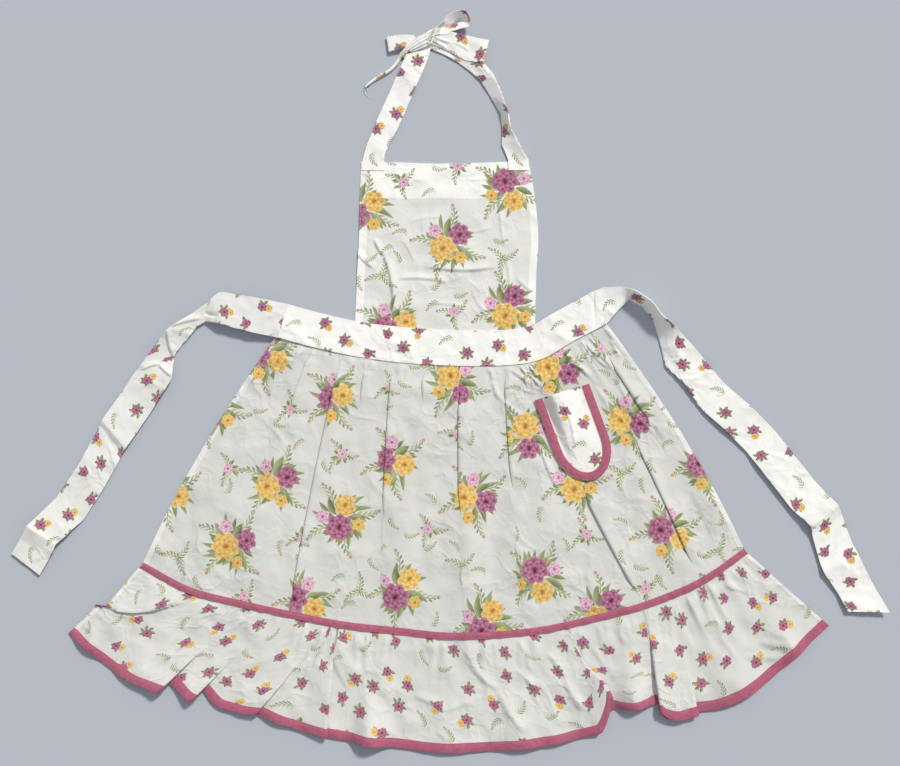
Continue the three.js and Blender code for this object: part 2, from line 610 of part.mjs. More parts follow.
// The origin is the middle of the apron's outline, on the surface that it lies on
const outline = new THREE.Box3().setFromObject(apron);
const middle = outline.getCenter(new THREE.Vector3());
apron.children.forEach((mesh) => mesh.geometry.translate(-middle.x, -middle.y, -outline.min.z));

export default apron;
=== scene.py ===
"""Frilled kitchen apron, spread out face up with its neck straps tied in a bow.

Plan sizes are in millimetres: x to the right, y towards the neck, z above the surface it lies on.
"""

import math

import bpy
import numpy as np
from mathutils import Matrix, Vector


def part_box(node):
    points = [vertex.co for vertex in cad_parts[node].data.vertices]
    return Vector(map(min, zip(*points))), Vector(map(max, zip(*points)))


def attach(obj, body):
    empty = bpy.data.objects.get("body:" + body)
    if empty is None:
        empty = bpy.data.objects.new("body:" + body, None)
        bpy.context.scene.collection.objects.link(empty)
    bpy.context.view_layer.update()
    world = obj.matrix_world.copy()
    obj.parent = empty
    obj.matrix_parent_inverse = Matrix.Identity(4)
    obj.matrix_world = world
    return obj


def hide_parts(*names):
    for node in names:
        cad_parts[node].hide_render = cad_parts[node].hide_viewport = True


bl_info = {
    "name": "Frilled kitchen apron",
    "version": (1, 0, 0),
    "blender": (4, 5, 0),
    "location": "View3D > Sidebar > Apron",
    "description": "Builds a printed cotton apron with a frill, ties, a pocket and a bow",
    "category": "Object",
}

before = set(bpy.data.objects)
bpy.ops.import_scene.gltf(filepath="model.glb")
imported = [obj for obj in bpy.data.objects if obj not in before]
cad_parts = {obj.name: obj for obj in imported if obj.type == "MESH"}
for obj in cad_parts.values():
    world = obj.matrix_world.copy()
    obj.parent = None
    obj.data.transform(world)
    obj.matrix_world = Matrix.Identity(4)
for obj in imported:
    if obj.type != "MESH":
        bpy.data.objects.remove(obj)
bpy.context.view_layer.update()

# The plan's tables have their own origin: the knot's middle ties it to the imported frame
KNOT = {"x": -35, "y": 500, "z": 7}
knot_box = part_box("bow_knot")
SHIFT = np.array([
    (knot_box[0].x + knot_box[1].x) * 500 - KNOT["x"],
    (knot_box[0].y + knot_box[1].y) * 500 - KNOT["y"],
    (knot_box[0].z + knot_box[1].z) * 500 - KNOT["z"],
])

# Heights that the solids use: thickness of cloth and tape, the gap between layers, and the hem's height
CLOTH = 1.2
TAPE = 1.0
GAP = 0.3
LAYER = CLOTH + GAP
HEM_HEIGHT = CLOTH / 2 + GAP + TAPE + GAP
# Lengths of skirt and ruffle, the skirt's margin under the band and how far it follows the band's height
SKIRT_LENGTH = 380
RUFFLE_LENGTH = 150
SKIRT_MARGIN = 12
MARGIN_FOLLOW = 0.6
# How far below the margin the skirt ripples, and shares of the way down: that place, over which its waves
# and its creases rise, over which it settles from the band's height, and the top with finer rows
RIPPLE_START = 1
RIPPLE_DOWN = (SKIRT_MARGIN + RIPPLE_START) / SKIRT_LENGTH
FREE_RISE = 0.06
NEAR_RISE = 0.02
SETTLE = 0.12
FINE_TOP = 0.28
# Where waves and creases end above the seam, the share over which they fall, and where the seam's own begin
FREE_END = 0.985
END_FALL = 0.08
SEAM_BEGINS = 0.6
# Depth of a folded layer under its flap, the most of a strip that turns under as a share of what shows, and
# the rounding of a strip's corners as a share of a table row
UNDER = 2.2
MOST_UNDER = 0.85
ROUNDING = 0.1
# Angle in degrees past which an edge is shaded as sharp, and the share of the bake map that each face takes
SHARP_ANGLE = 70
BAKE_SHARE = 0.49
# Pressed creases: the steep side as a share of the slow one, how hollow the sides are, and as shares of a
# crease's length how far it bends out of a straight line and over which part its ends fade
STEEP = 0.35
CREASE_HOLLOW = 1.4
CREASE_SWING = 0.05
CREASE_FADE = 0.25
# Soft random waves of each cloth: seed, height, shortest and longest wave, and lift of the whole
WAVE_COUNT = 48
STRIP_WAVES = {"height": 0.25, "shortest": 16, "longest": 60, "lift": 0}
BIB_WAVES = {"seed": 11, "height": 0.4, "shortest": 26, "longest": 120, "lift": 0.6}
SKIRT_WAVES = {"seed": 5, "height": 0.55, "shortest": 24, "longest": 130, "lift": 0.7}
RUFFLE_WAVES = {"seed": 8, "height": 0.5, "shortest": 22, "longest": 90, "lift": 0.6}
TRIM_WAVES = {"seed": 21, "height": 0.35, "shortest": 9, "longest": 40, "lift": 0.35}


def table(names, *rows):
    """A table of named columns."""
    return dict(zip(names.split(), np.array(rows, float).T))


# The waistband's middle line from its left end to its right one
BAND = table(
    "x y width lift roll curl",
    (-234, 87, 49, 6, 0, 0),
    (-185, 74, 49, 2.2, 0, 0),
    (-125, 61, 49, 1.1, 0, 0),
    (-60, 53, 50, 1.1, 0, 0),
    (13, 49, 50, 1.1, 0, 0),
    (80, 50, 50, 1.1, 0, 0),
    (121, 57, 49, 1.1, 0, 0),
    (160, 79, 48, 3, 0, 0),
    (207, 104, 49, 5, 0, 0),
)
# Ties and straps lie in flat stretches between pressed creases: the ends of each crease, with their
# heights, at the strip's left hand and right hand edge
EDGES = "left_x left_y left_z right_x right_y right_z"
TIE_WIDTH = 49
TIE_LEFT = table(
    EDGES,
    (-603, -236, 3, -563, -265, 4),
    (-591, -216, 5, -551, -244, 5),
    (-580, -198, 13, -541, -224, 10),
    (-576, -193, 9, -537, -219, 8),
    (-545, -160, 2, -506, -190, 2),
    (-516, -116, 3, -478, -145, 3),
    (-487, -60, 2, -455, -100, 1),
    (-483, -52, 7, -449, -91, 6),
    (-461, -18, 3, -419, -45, 3),
    (-439, 17, 3, -387, 6, 8),
    (-433, 23, 6, -387, 34, 2),
    (-407, 59, 8, -382, 45, 3),
    (-392, 76, 13, -363, 68, 3),
    (-363, 96, 7, -355, 79, 5),
    (-343, 111, 9, -343, 86, 4),
    (-323, 128, 8, -321, 82, 13),
    (-271, 119, 11, -277, 70, 12),
    (-228, 111, 6, -240, 63, 6),
)
TIE_RIGHT = table(
    EDGES,
    (195, 126, 5, 219, 82, 5),
    (215, 134, 9, 224, 88, 6),
    (242, 134, 15, 236, 102, 6),
    (258, 127, 24, 253, 119, 2),
    (280, 111, 26, 270, 108, 1),
    (293, 93, 25, 286, 87, 1),
    (313, 77, 20, 293, 62, 1),
    (322, 69, 13, 300, 31, 1),
    (340, 51, 8, 302, 23, 3),
    (362, 24, 5, 326, 0, 5),
    (384, -2, 3, 351, -38, 3),
    (419, -34, 8, 376, -60, 5),
    (449, -64, 3, 411, -95, 2),
    (466, -87, 7, 423, -111, 5),
    (507, -139, 3, 472, -176, 5),
    (533, -169, 13, 496, -198, 10),
    (540, -183, 5, 499, -212, 4),
    (554, -222, 3, 509, -250, 3),
    (559, -235, 8, 513, -262, 6),
    (580, -277, 3, 532, -290, 3),
    (600, -315, 8, 544, -314, 6),
)
STRAP_WIDTH = 30
STRAP_LEFT = table(
    EDGES,
    (-126, 304, 1.3, -94, 304, 1.3),
    (-125, 317, 1.3, -94, 317, 1.3),
    (-120, 337, 2, -92, 332, 3),
    (-103, 380, 4, -75, 364, 2),
    (-86, 419, 2, -55, 411, 3),
    (-77, 442, 2, -46, 432, 5),
    (-62, 475, 4, -32, 466, 2),
    (-48, 499, 4, -26, 492, 3),
)
STRAP_RIGHT = table(
    EDGES,
    (83, 304, 1.3, 113, 304, 1.3),
    (83, 319, 1.3, 112, 319, 1.3),
    (78, 332, 2, 104, 330, 5),
    (74, 341, 1, 96, 346, 10),
    (75, 365, 1, 86, 361, 14),
    (73, 387, 1, 82, 386, 15),
    (64, 402, 1, 77, 402, 13),
    (52, 423, 1, 71, 422, 10),
    (43, 437, 2, 60, 446, 8),
    (29, 450, 1.5, 48, 460, 6),
    (10, 464, 1, 33, 470, 4),
    (-7, 474, 1, 17, 485, 3),
    (-34, 486, 2, -22, 499, 3),
)
STRIP_CREASES = table(
    "x1 y1 x2 y2 span height",
    (-347, 98, -322, 92, 6, -3),
    (206, 78, 204, 132, 4, -1.6),
    (-81, 86, -81, 28, 5, 1.2),
    (81, 24, 80, 78, 5, 1.2),
    (-150, 84, -120, 46, 6, 0.8),
    (120, 40, 142, 84, 6, 0.8),
    (-10, 40, 40, 44, 5, 0.6),
    (-570, -226, -556, -246, 5, 1.0),
    (-394, 80, -387, 36, 9, 4.0),
    (-432, 17, -404, 27, 8, 2.6),
    (-408, 28, -385, 8, 9, 3.4),
    (-394, 76, -345, 91, 8, 3.4),
    (-26, 501, 3, 489, 4, 1.6),
    (-28, 494, -2, 479, 4, 1.6),
    (-23, 502, 5, 504, 3, 1.2),
    (5, 490, 28, 477, 5, 1.4),
    (-520, -160, -500, -136, 6, 1.2),
    (-420, 0, -396, -12, 6, 1.4),
    (370, -20, 392, -4, 6, 1.4),
    (440, -100, 470, -110, 6, 1.2),
    (480, -150, 500, -130, 6, 1.2),
    (530, -230, 546, -210, 6, 1.2),
    (40, 470, 58, 440, 4, 1.0),
    (-70, 440, -52, 452, 4, 0.8),
    (-104, 360, -84, 376, 5, 0.8),
)

# The bow: the eye shaped loop stands on its edge, one tail lies flat and the other is rolled up thin
LOOP_EYE = table(
    EDGES,
    (-31, 508, 7, -26, 505, 5),
    (-20, 512, 11, -15, 510, 5),
    (-9, 519, 13, -6, 516, 3),
    (-5, 526, 14, 0, 519, 2),
    (3, 532, 14, 7, 522, 1),
    (13, 535, 14, 14, 525, 1),
    (22, 534, 14, 19, 528, 1),
    (27, 527, 13, 22, 528, 2),
    (30, 520, 11, 22, 525, 4),
    (27, 513, 8, 20, 523, 4),
    (15, 510, 8, 11, 521, 3),
    (2, 506, 8, 0, 517, 4),
    (-12, 502, 8, -13, 512, 6),
    (-25, 500, 9, -25, 506, 7),
)
TAIL_FLAT = table(
    EDGES,
    (-43, 497, 6, -39, 488, 4),
    (-22, 503, 7, -20, 487, 4),
    (3, 505, 9, 0, 477, 4),
    (27, 500, 7, 22, 465, 4),
    (43, 495, 9, 37, 462, 5),
    (56, 494, 6, 49, 462, 9),
)
TAIL_THIN = table(
    "x y width lift roll curl",
    (-56, 484, 14, 4, 0, -150),
    (-64, 478, 13, 2, 10, -220),
    (-71, 471, 12, 1, 30, -280),
    (-77, 461, 11, 0, 60, -300),
    (-86, 451, 10, 0, 80, -300),
    (-99, 443, 10, 0, 90, -300),
    (-111, 435, 9, 0, 100, -300),
    (-121, 426, 8, 0, 120, -300),
)
KNOT_WRAP = table(
    EDGES,
    (-13, 506, 9, -17, 512, 8),
    (-22, 499, 8, -30, 506, 9),
    (-26, 489, 6, -39, 501, 10),
    (-37, 483, 6, -48, 496, 10),
    (-51, 478, 5, -58, 488, 8),
    (-61, 474, 4, -66, 481, 6),
    (-66, 469, 2, -72, 475, 3),
)
CORE = {"x": -36, "y": 493, "z": 6, "long": 11, "wide": 9, "high": 4.5}
KNOT_RIDGES = {"count": 4, "height": 0.5, "crown": 2}
THREAD = 0.3
# Loose threads at the thin tail's end: where each one goes from the tip, and how far it bends aside
THREADS = table(
    "x y bend",
    (2, -9, 2),
    (7, -17, -4),
    (-6, -6, 2),
    (0, -5, -2),
)
LOOP_FLAT = {
    "x": -49, "y": 495, "heading": 188, "reach": 41, "rise": 5,
    "lift": 1.5, "knot_width": 14, "end_width": 24, "map_width": 25,
}

# Bib: a row for each level from its top hem down to the margin under the waistband
BIB = table(
    "y left right",
    (317, -127, 112),
    (262, -128, 121),
    (206, -129, 125),
    (156, -131, 122),
    (100, -133, 120),
    (60, -135, 119),
)
BIB_WIDTH = BIB["right"][0] - BIB["left"][0]
BIB_TOP_DIP = 3
BIB_FACING = 55
# Where the bib is free to crumple: levels at its top, at its foot and below the straps, and millimetres
# beside them
BIB_FREE = {"top": 0.3, "foot": 0.6, "below": 0.8, "strap_gap": 6, "strap_fade": 10}
# The bib's single cloth looks a little whiter than the skirt's
BIB_FULLNESS = 0.35
BIB_CREASES = table(
    "x1 y1 x2 y2 span height",
    (-40, 166, 70, 165, 10, 3.2),
    (-80, 147, 4, 141, 9, 2.6),
    (-108, 206, -91, 178, 9, 3.4),
    (-93, 186, -79, 82, 11, 4.2),
    (-134, 188, -105, 161, 9, 2.6),
    (-80, 320, -80, 259, 5, 1.4),
    (74, 314, 78, 187, 6, 1.6),
    (78, 190, 77, 58, 7, 1.8),
    (6, 293, 68, 293, 5, 1.0),
    (-60, 228, -10, 236, 7, 1.0),
    (20, 214, 62, 222, 7, 1.2),
    (-40, 112, 30, 104, 7, 1.2),
    (92, 150, 120, 128, 7, 1.4),
    (-70, 206, -50, 170, 7, 1.2),
    (30, 132, 52, 96, 7, 1.2),
)

# Ribs run down skirt and ruffle from the left edge to the right one
RIBS = table(
    "seam_x seam_y hem_x hem_y bow",
    (-424, -252, -521, -343, -12),
    (-358, -286, -444, -402, -6),
    (-288, -304, -356, -431, -2),
    (-220, -318, -265, -454, 0),
    (-151, -332, -172, -480, 0),
    (-79, -340, -88, -493, 0),
    (-10, -347, -7, -501, 0),
    (60, -346, 75, -498, 0),
    (130, -339, 152, -488, 0),
    (202, -323, 226, -470, 2),
    (272, -304, 306, -460, 6),
    (341, -276, 409, -423, 10),
    (407, -233, 518, -333, 12),
)
LAST_RIB = len(RIBS["bow"]) - 1
# Pleats that fold over: where their edges run from the top rib to the foot rib, over which share of the
# way, how far the cloth tucks under, how high and long the flap is, on which side of its edge it lies, and
# how far its tip and the cloth beside it draw back from the hem
PLEATS = "top foot start grow end tuck height run side tip notch reach"
SKIRT_PLEATS = table(
    PLEATS,
    (0.6, 0.8, 0.07, 0.04, 0.24, 4, 3.0, 22, 1, 0, 0, 1),
    (1.5, 1.8, 0.06, 0.04, 0.30, 4, 3.0, 22, 1, 0, 0, 1),
    (2.5, 3.0, 0.08, 0.10, 0.97, 9, 3.6, 60, 1, 0, 0, 1),
    (3.3, 3.8, 0.06, 0.04, 0.22, 4, 3.0, 22, 1, 0, 0, 1),
    (4.1, 4.8, 0.06, 0.06, 0.62, 9, 3.4, 60, 1, 0, 0, 1),
    (5.0, 5.6, 0.06, 0.04, 0.20, 4, 2.6, 22, 1, 0, 0, 1),
    (6.0, 6.4, 0.10, 0.12, 0.58, 6, 3.4, 70, 1, 0, 0, 1),
    (7.35, 7.6, 0.06, 0.08, 0.50, 6, 3.0, 46, 1, 0, 0, 1),
    (8.1, 8.5, 0.06, 0.04, 0.17, 4, 2.6, 18, 1, 0, 0, 1),
    (8.55, 9.9, 0.46, 0.06, 0.98, 8, 4.2, 60, 1, 0, 0, 1),
    (10.3, 10.6, 0.07, 0.04, 0.16, 4, 2.4, 16, -1, 0, 0, 1),
    (10.85, 11.02, 0.42, 0.12, 0.95, 6, 3.6, 42, 1, 0, 0, 1),
    (11.35, 11.6, 0.12, 0.08, 0.42, 5, 3.4, 22, 1, 0, 0, 1),
)
RUFFLE_PLEATS = table(
    PLEATS,
    (2.1, 1.56, 0.45, 0.55, 9, 20, 12, 60, -1, 0, 16, 46),
    (2.7, 2.05, 0.50, 0.50, 9, 17, 11, 44, -1, 0, 18, 40),
    (3.72, 3.0, 0.30, 0.60, 9, 18, 8, 80, -1, 4, 4, 40),
    (3.95, 4.05, 0.10, 0.45, 9, 16, 7, 60, -1, 0, 0, 30),
    (8.4, 9.0, 0.10, 0.75, 9, 26, 11, 60, -1, 42, 27, 62),
    (9.9, 9.8, 0.10, 0.70, 9, 14, 9, 60, 1, 14, 27, 62),
    (10.5, 10.3, 0.55, 0.45, 9, 7, 4, 40, -1, 0, 5, 30),
)
# Section across a fold, from the low side to the flap: share of the tuck, millimetres past the edge,
# share of the height, and share of the tip's and the low side's setback
FOLD = table(
    "tuck past height tip notch",
    (0.00, -2.5, 0.00, 0.0, 1.0),
    (0.45, 0.0, 0.01, 0.0, 0.8),
    (0.88, 0.0, 0.06, 0.0, 0.4),
    (1.00, 0.0, 0.25, 0.1, 0.2),
    (0.88, 0.0, 0.44, 0.2, 0.1),
    (0.45, 0.0, 0.52, 0.4, 0.0),
    (0.04, 0.0, 0.58, 0.9, 0.0),
    (0.00, -0.8, 0.78, 1.0, 0.0),
    (0.00, 0.2, 0.98, 1.0, 0.0),
    (0.00, 2.5, 1.00, 1.0, 0.0),
)
FOLD_HALF = 2.5
TIP_REACH = 24
# Share of the way down over which a pleat fades out, and the step in ribs by which spacing is measured
PLEAT_FADE = 0.1
RIB_STEP = 0.05
# Widths of the cells of skirt and ruffle, and the ruffle's row along which its print runs true
SKIRT_STEP = 3.6
RUFFLE_STEP = 3.5
PRINT_ROW = 32
# Columns of cells at a side edge as shares of the side hem, the last one just past it
HEM_COLUMNS = np.array([0, 0.3, 0.65, 0.95, 1.03])
# How far the middle of a rose tape stands above its edges
TAPE_CROWN = 0.8
# Gap of the binding to the hem, and heights of the seam's and the pocket's tape over what they lie on
BINDING_GAP = 0.1
TRIM_RISE = 1.1
POCKET_TAPE_RISE = 1.4
# Widths of the side hems, and half the width of the step at the edge of a hem on the bib
SIDE_HEM = 10
HEM_STEP = 0.4
SKIRT_HEM = 7
RUFFLE_HEM = 5
# How much of a second layer the narrow side hems show
HEM_LAYER = 0.45
# The left tie is painted greyer than the other doubled strips: it takes less of a second layer's white
LEFT_TIE_WHITE_SHARE = 0.45
SKIRT_SWELLS = table(
    "top foot start end span height",
    (0.7, 0.9, 0.35, 0.95, 40, 4),
    (1.7, 2.1, 0.15, 0.95, 34, 3),
    (4.6, 5.1, 0.50, 0.97, 36, 4),
    (6.2, 6.5, 0.45, 0.97, 40, 5),
    (7.5, 7.7, 0.45, 0.95, 34, 4),
    (8.1, 8.4, 0.30, 0.95, 40, 3),
    (10.4, 10.7, 0.45, 0.95, 34, 4),
    (11.8, 11.8, 0.30, 0.95, 24, 3),
)
# Share of the way down over which a swell fades in and out, and the spacing of ribs at waist and seam
SWELL_FADE = 0.15
RIB_SPACING = (36.0, 70.0)
SKIRT_CREASES = table(
    "x1 y1 x2 y2 span height",
    (126, -90, 166, -172, 10, 3.4),
    (-154, -17, -98, -24, 5, 1.2),
    (-147, -41, -98, -52, 5, 1.2),
    (-140, -74, -100, -90, 6, -1.2),
    (-271, -101, -230, -59, 8, 1.8),
    (-331, -252, -303, -286, 8, 2.0),
    (-114, -132, -83, -163, 5, 2.2),
    (-118, -98, -92, -126, 6, 1.4),
    (-60, -150, -10, -166, 7, 1.0),
    (51, 26, 60, 1, 7, 4.0),
    (59, 5, 70, -26, 8, 4.0),
    (76, 22, 110, -2, 7, 3.0),
    (95, 31, 109, 9, 5, 3.6),
    (105, 14, 126, -6, 5, 3.6),
    (107, 33, 124, 6, 6, 3.8),
    (121, 13, 138, -6, 5, 3.4),
    (100, -10, 124, -14, 5, 2.4),
    (71, -18, 74, -46, 5, 2.6),
    (73, -22, 98, -48, 6, 2.6),
    (82, -54, 98, -71, 5, 2.4),
    (156, 52, 179, 20, 7, 4.0),
    (174, 26, 206, -5, 7, 4.0),
    (188, 58, 212, 34, 9, 4.0),
    (208, 40, 230, 14, 8, 3.4),
    (225, 64, 239, 33, 6, 3.0),
    (195, -1, 220, -33, 6, 3.4),
    (215, -28, 241, -50, 7, 3.0),
    (231, -27, 288, -77, 6, 2.6),
    (192, 48, 226, 18, 6, 2.6),
    (222, 20, 262, -74, 7, 2.0),
    (288, -60, 304, -84, 6, 1.4),
    (-20, -70, 30, -76, 6, 1.0),
    (-60, -240, 20, -252, 8, 1.0),
    (110, -200, 160, -216, 7, 1.2),
    (330, -190, 372, -206, 7, 1.4),
    (-330, -170, -286, -196, 8, 1.2),
)
SEAM_WAVES = table(
    "rib span height",
    (2.9, 60, 3),
    (6.4, 80, 3),
    (9.6, 60, 3),
    (11.2, 60, 2),
)
RUFFLE_SWELLS = table(
    "rib start span height",
    (0.3, 0.1, 30, 7),
    (1.1, 0.3, 34, 5),
    (3.3, 0.3, 40, 4),
    (4.75, 0.45, 34, 17),
    (6.0, 0.3, 44, 5),
    (7.3, 0.2, 44, 8),
    (7.9, 0.2, 30, 5),
    (9.4, 0.25, 30, 13),
    (10.9, 0.2, 60, 7),
    (11.6, 0.3, 36, 6),
)
# The crosswise tuck at the ruffle's left end, under the seam tape
TUCK = table(
    "rib down",
    (0.0, 0.56),
    (0.25, 0.50),
    (0.5, 0.40),
    (0.75, 0.27),
    (0.95, 0.16),
    (1.2, 0.12),
)
# Shares of the way down the ruffle where crumples start and over which they rise, and how far past the
# tuck's line its edge counts as part of it
RUMPLE_START = 0.05
RUMPLE_RISE = 0.1
TUCK_EDGE = 0.01
# Row of the ruffle's grid that runs along the tuck, and the share of the way down where rows are even again
TUCK_ROW = 22 / 56
TUCK_EVEN = 0.85
TUCK_STEP = {
    "height": 5, "over": 5, "inset": 11, "outset": 5, "fall": 2.6, "calm": 25, "start": 0.04, "fade": 0.5,
}
RUFFLE_CREASES = table(
    "x1 y1 x2 y2 span height",
    (-392, -380, -356, -352, 6, 2.0),
    (-372, -396, -300, -350, 7, 2.4),
    (-330, -392, -290, -372, 6, 1.4),
    (-250, -380, -216, -352, 6, 1.6),
    (-167, -353, -134, -425, 8, 2.0),
    (-125, -351, -115, -376, 6, 1.8),
    (-60, -420, -40, -372, 8, 1.4),
    (-53, -427, -4, -448, 12, 2.6),
    (-18, -473, -1, -487, 5, 1.6),
    (-4, -448, 34, -436, 10, 1.8),
    (27, -386, 67, -420, 13, 3.2),
    (50, -484, 76, -466, 5, 1.6),
    (63, -416, 102, -478, 14, 3.6),
    (94, -353, 110, -400, 9, 2.8),
    (103, -393, 126, -448, 10, 2.8),
    (131, -369, 158, -407, 13, 3.6),
    (153, -401, 182, -449, 14, 4.2),
    (192, -361, 213, -401, 9, 2.4),
    (225, -332, 241, -361, 8, 2.2),
    (364, -345, 388, -380, 8, 1.8),
    (372, -275, 415, -291, 10, 2.8),
    (396, -377, 451, -380, 10, 2.2),
    (419, -355, 476, -361, 11, 2.8),
)
# Gathers under a seam: where they start and how far they reach as shares of the way down, widths in ribs
WAIST_GATHERS = {
    "seed": 4, "count": 52, "height": 3.6, "width": 0.15, "reach": 0.3, "slant": 0.6, "rise": 0.014,
    "start": SKIRT_MARGIN / SKIRT_LENGTH,
}
SEAM_GATHERS = {
    "seed": 9, "count": 84, "height": 4.0, "width": 0.085, "reach": 0.65, "slant": 0.12, "rise": 0.05,
    "start": 0.043,
}
POCKET = {
    "x": 156, "y": -13, "tilt": 17, "half": 39, "depth": 128, "round": 54,
    "foot": 10, "sway": 6, "gape": 15, "rim": 9, "rise": 17, "fall": 50, "calm": 14,
}
POCKET_HEM = 11
# The pocket lies over the skirt, so it looks almost as white as a doubled layer
POCKET_FULLNESS = 0.85
# Skirt round the pocket that stays free of pleats, and of creases
PLEAT_MARGIN = 16
CREASE_MARGIN = 3
POCKET_CREASES = table(
    "x1 y1 x2 y2 span height",
    (133, -22, 168, -118, 13, -2.0),
    (152, -18, 174, -96, 9, 2.0),
    (180, -8, 196, -70, 9, -1.4),
)


class ApronSizes(bpy.types.PropertyGroup):
    """Sizes of cloth, tape and thread."""

    cloth_thickness: bpy.props.FloatProperty(
        name="Cloth thickness", description="Thickness of one layer of printed cotton",
        default=0.0006, min=0.0002, unit="LENGTH",
    )
    strap_thickness: bpy.props.FloatProperty(
        name="Strap thickness", description="Thickness of the folded straps, ties and waistband",
        default=0.0011, min=0.0004, unit="LENGTH",
    )
    tape_thickness: bpy.props.FloatProperty(
        name="Tape thickness", description="Thickness of the rose tape",
        default=0.0007, min=0.0002, unit="LENGTH",
    )
    trim_width: bpy.props.FloatProperty(
        name="Trim width", description="Width of the rose tape along the seam",
        default=0.0093, min=0.004, unit="LENGTH",
    )
    binding_width: bpy.props.FloatProperty(
        name="Binding width", description="Width of the rose tape along the hem and the pocket",
        default=0.0115, min=0.004, unit="LENGTH",
    )
    stitch_pitch: bpy.props.FloatProperty(
        name="Stitch pitch", description="Length of one stitch with its gap",
        default=0.0032, min=0.001, unit="LENGTH",
    )
    stitch_thread: bpy.props.FloatProperty(
        name="Stitch thread", description="Thickness of the sewing thread",
        default=0.0005, min=0.0001, unit="LENGTH",
    )


class ApronColours(bpy.types.PropertyGroup):
    """Colours of cloth, tape and floor as sRGB hex values."""

    cloth: bpy.props.StringProperty(
        name="Cloth", description="Ground colour of the printed cotton", default="F8F7F3",
    )
    tape: bpy.props.StringProperty(
        name="Tape", description="Colour of the trim and bindings", default="A4566D",
    )
    floor: bpy.props.StringProperty(
        name="Floor", description="Colour of the studio floor", default="B4BAC4",
    )


def linear(code):
    """Linear colour with alpha of an sRGB hex value."""
    values = [int(code[i:i + 2], 16) / 255 for i in (0, 2, 4)]
    return [v / 12.92 if v <= 0.04045 else ((v + 0.055) / 1.055) ** 2.4 for v in values] + [1.0]


def ease(x):
    """Smooth step from 0 to 1."""
    x = np.clip(x, 0, 1)
    return x * x * (3 - 2 * x)


def bump(q):
    """Rounded hump of height 1 between -1 and 1."""
    return np.where(np.abs(q) < 1, np.cos(np.clip(q, -1, 1) * np.pi / 2) ** 2, 0)


def lerp(a, b, t):
    """Value between a and b."""
    return a + (b - a) * t


def rows_of(rows):
    """The rows of a table as dictionaries."""
    return [dict(zip(rows, values)) for values in zip(*rows.values())]


def column(rows, name, place):
    """One column of a table at places between its rows, on a smooth curve through all of them."""
    values = rows[name]
    padded = np.concatenate([[2 * values[0] - values[1]], values, [2 * values[-1] - values[-2]]])
    row = np.clip(np.floor(place).astype(int), 0, len(values) - 2)
    t = place - row
    a, b, c, d = (padded[row + k] for k in range(4))
    return b + 0.5 * t * (c - a + t * (2 * a - 5 * b + 4 * c - d + t * (3 * (b - c) + d - a)))


def normals(points):
    """Upward normals of a grid of points whose rows run down and columns to the right."""
    across = np.gradient(points, axis=1)
    down = np.gradient(points, axis=0)
    normal = np.cross(down, across)
    return normal / np.maximum(np.linalg.norm(normal, axis=-1, keepdims=True), 1e-9)


def run_length(points, axis):
    """Length run along an axis of a grid up to each of its points."""
    step = np.linalg.norm(np.diff(points, axis=axis), axis=-1)
    zero = np.zeros_like(np.take(step, [0], axis=axis))
    return np.concatenate([zero, np.cumsum(step, axis=axis)], axis=axis)


def creases(x, y, rows):
    """Height of pressed creases: a slow rise on the left hand of each line and a steep drop on its right."""
    height = np.zeros(np.broadcast(x, y).shape)
    for number, c in enumerate(rows_of(rows)):
        dx = c["x2"] - c["x1"]
        dy = c["y2"] - c["y1"]
        length = math.hypot(dx, dy)
        along = ((x - c["x1"]) * dx + (y - c["y1"]) * dy) / length ** 2
        off = ((y - c["y1"]) * dx - (x - c["x1"]) * dy) / length
        swing = CREASE_SWING * length * (-1) ** number
        off = off + swing * np.sin(math.pi * np.clip(along, 0, 1))
        reach = np.where(off > 0, c["span"], c["span"] * STEEP)
        roof = np.clip(1 - np.abs(off) / reach, 0, 1) ** CREASE_HOLLOW
        height += c["height"] * roof * ease(along / CREASE_FADE) * ease((1 - along) / CREASE_FADE)
    return height


def waves(size, x, y):
    """Soft random waves with lengths between two sizes, lifted as a whole."""
    rng = np.random.default_rng(size["seed"])
    total = np.zeros(np.broadcast(x, y).shape)
    for _ in range(WAVE_COUNT):
        length = math.exp(rng.uniform(math.log(size["shortest"]), math.log(size["longest"])))
        angle = rng.uniform(0, math.pi)
        phase = rng.uniform(0, 2 * math.pi)
        k = 2 * math.pi / length
        total += np.cos(k * (x * math.cos(angle) + y * math.sin(angle)) + phase)
    return size["height"] * total * math.sqrt(2 / WAVE_COUNT) + size["lift"]


def straight(rows, name, place):
    """One column of a table at places between its rows, straight from row to row with small round corners."""
    last = len(rows[name]) - 1
    inside = np.clip(np.minimum(place, last - place) / ROUNDING, 0, 1)
    shifts = np.linspace(-ROUNDING, ROUNDING, 4)
    corners = np.arange(last + 1)
    return sum(np.interp(place + shift * inside, corners, rows[name]) for shift in shifts) / len(shifts)


def edged_points(rows, place, share, width):
    """Points of a strip between two edges: what is wider than their gap turns under at the right one."""
    place, share = np.broadcast_arrays(np.asarray(place, float), np.asarray(share, float))
    left = np.stack([straight(rows, "left_" + axis, place) for axis in "xyz"], -1)
    right = np.stack([straight(rows, "right_" + axis, place) for axis in "xyz"], -1)
    gap = np.linalg.norm(right - left, axis=-1)
    run = (0.5 - share) * np.maximum(width, gap)
    under = np.clip(run - gap, 0, MOST_UNDER * gap)
    run = np.minimum(run, gap + under)
    away = np.cross(right - left, np.gradient(left + right, axis=1))
    away = away / np.linalg.norm(away, axis=-1, keepdims=True)
    points = lerp(left, right, ((run - 2 * under) / gap)[..., None])
    points = points - away * (UNDER * ease(under / UNDER))[..., None]
    return points + [0, 0, CLOTH / 2]


def spread(rows, steps, across):
    """Places along the whole of a table, and shares across a strip."""
    last = len(next(iter(rows.values()))) - 1
    return np.linspace(0, last, steps)[None, :], np.linspace(0.5, -0.5, across)[:, None]


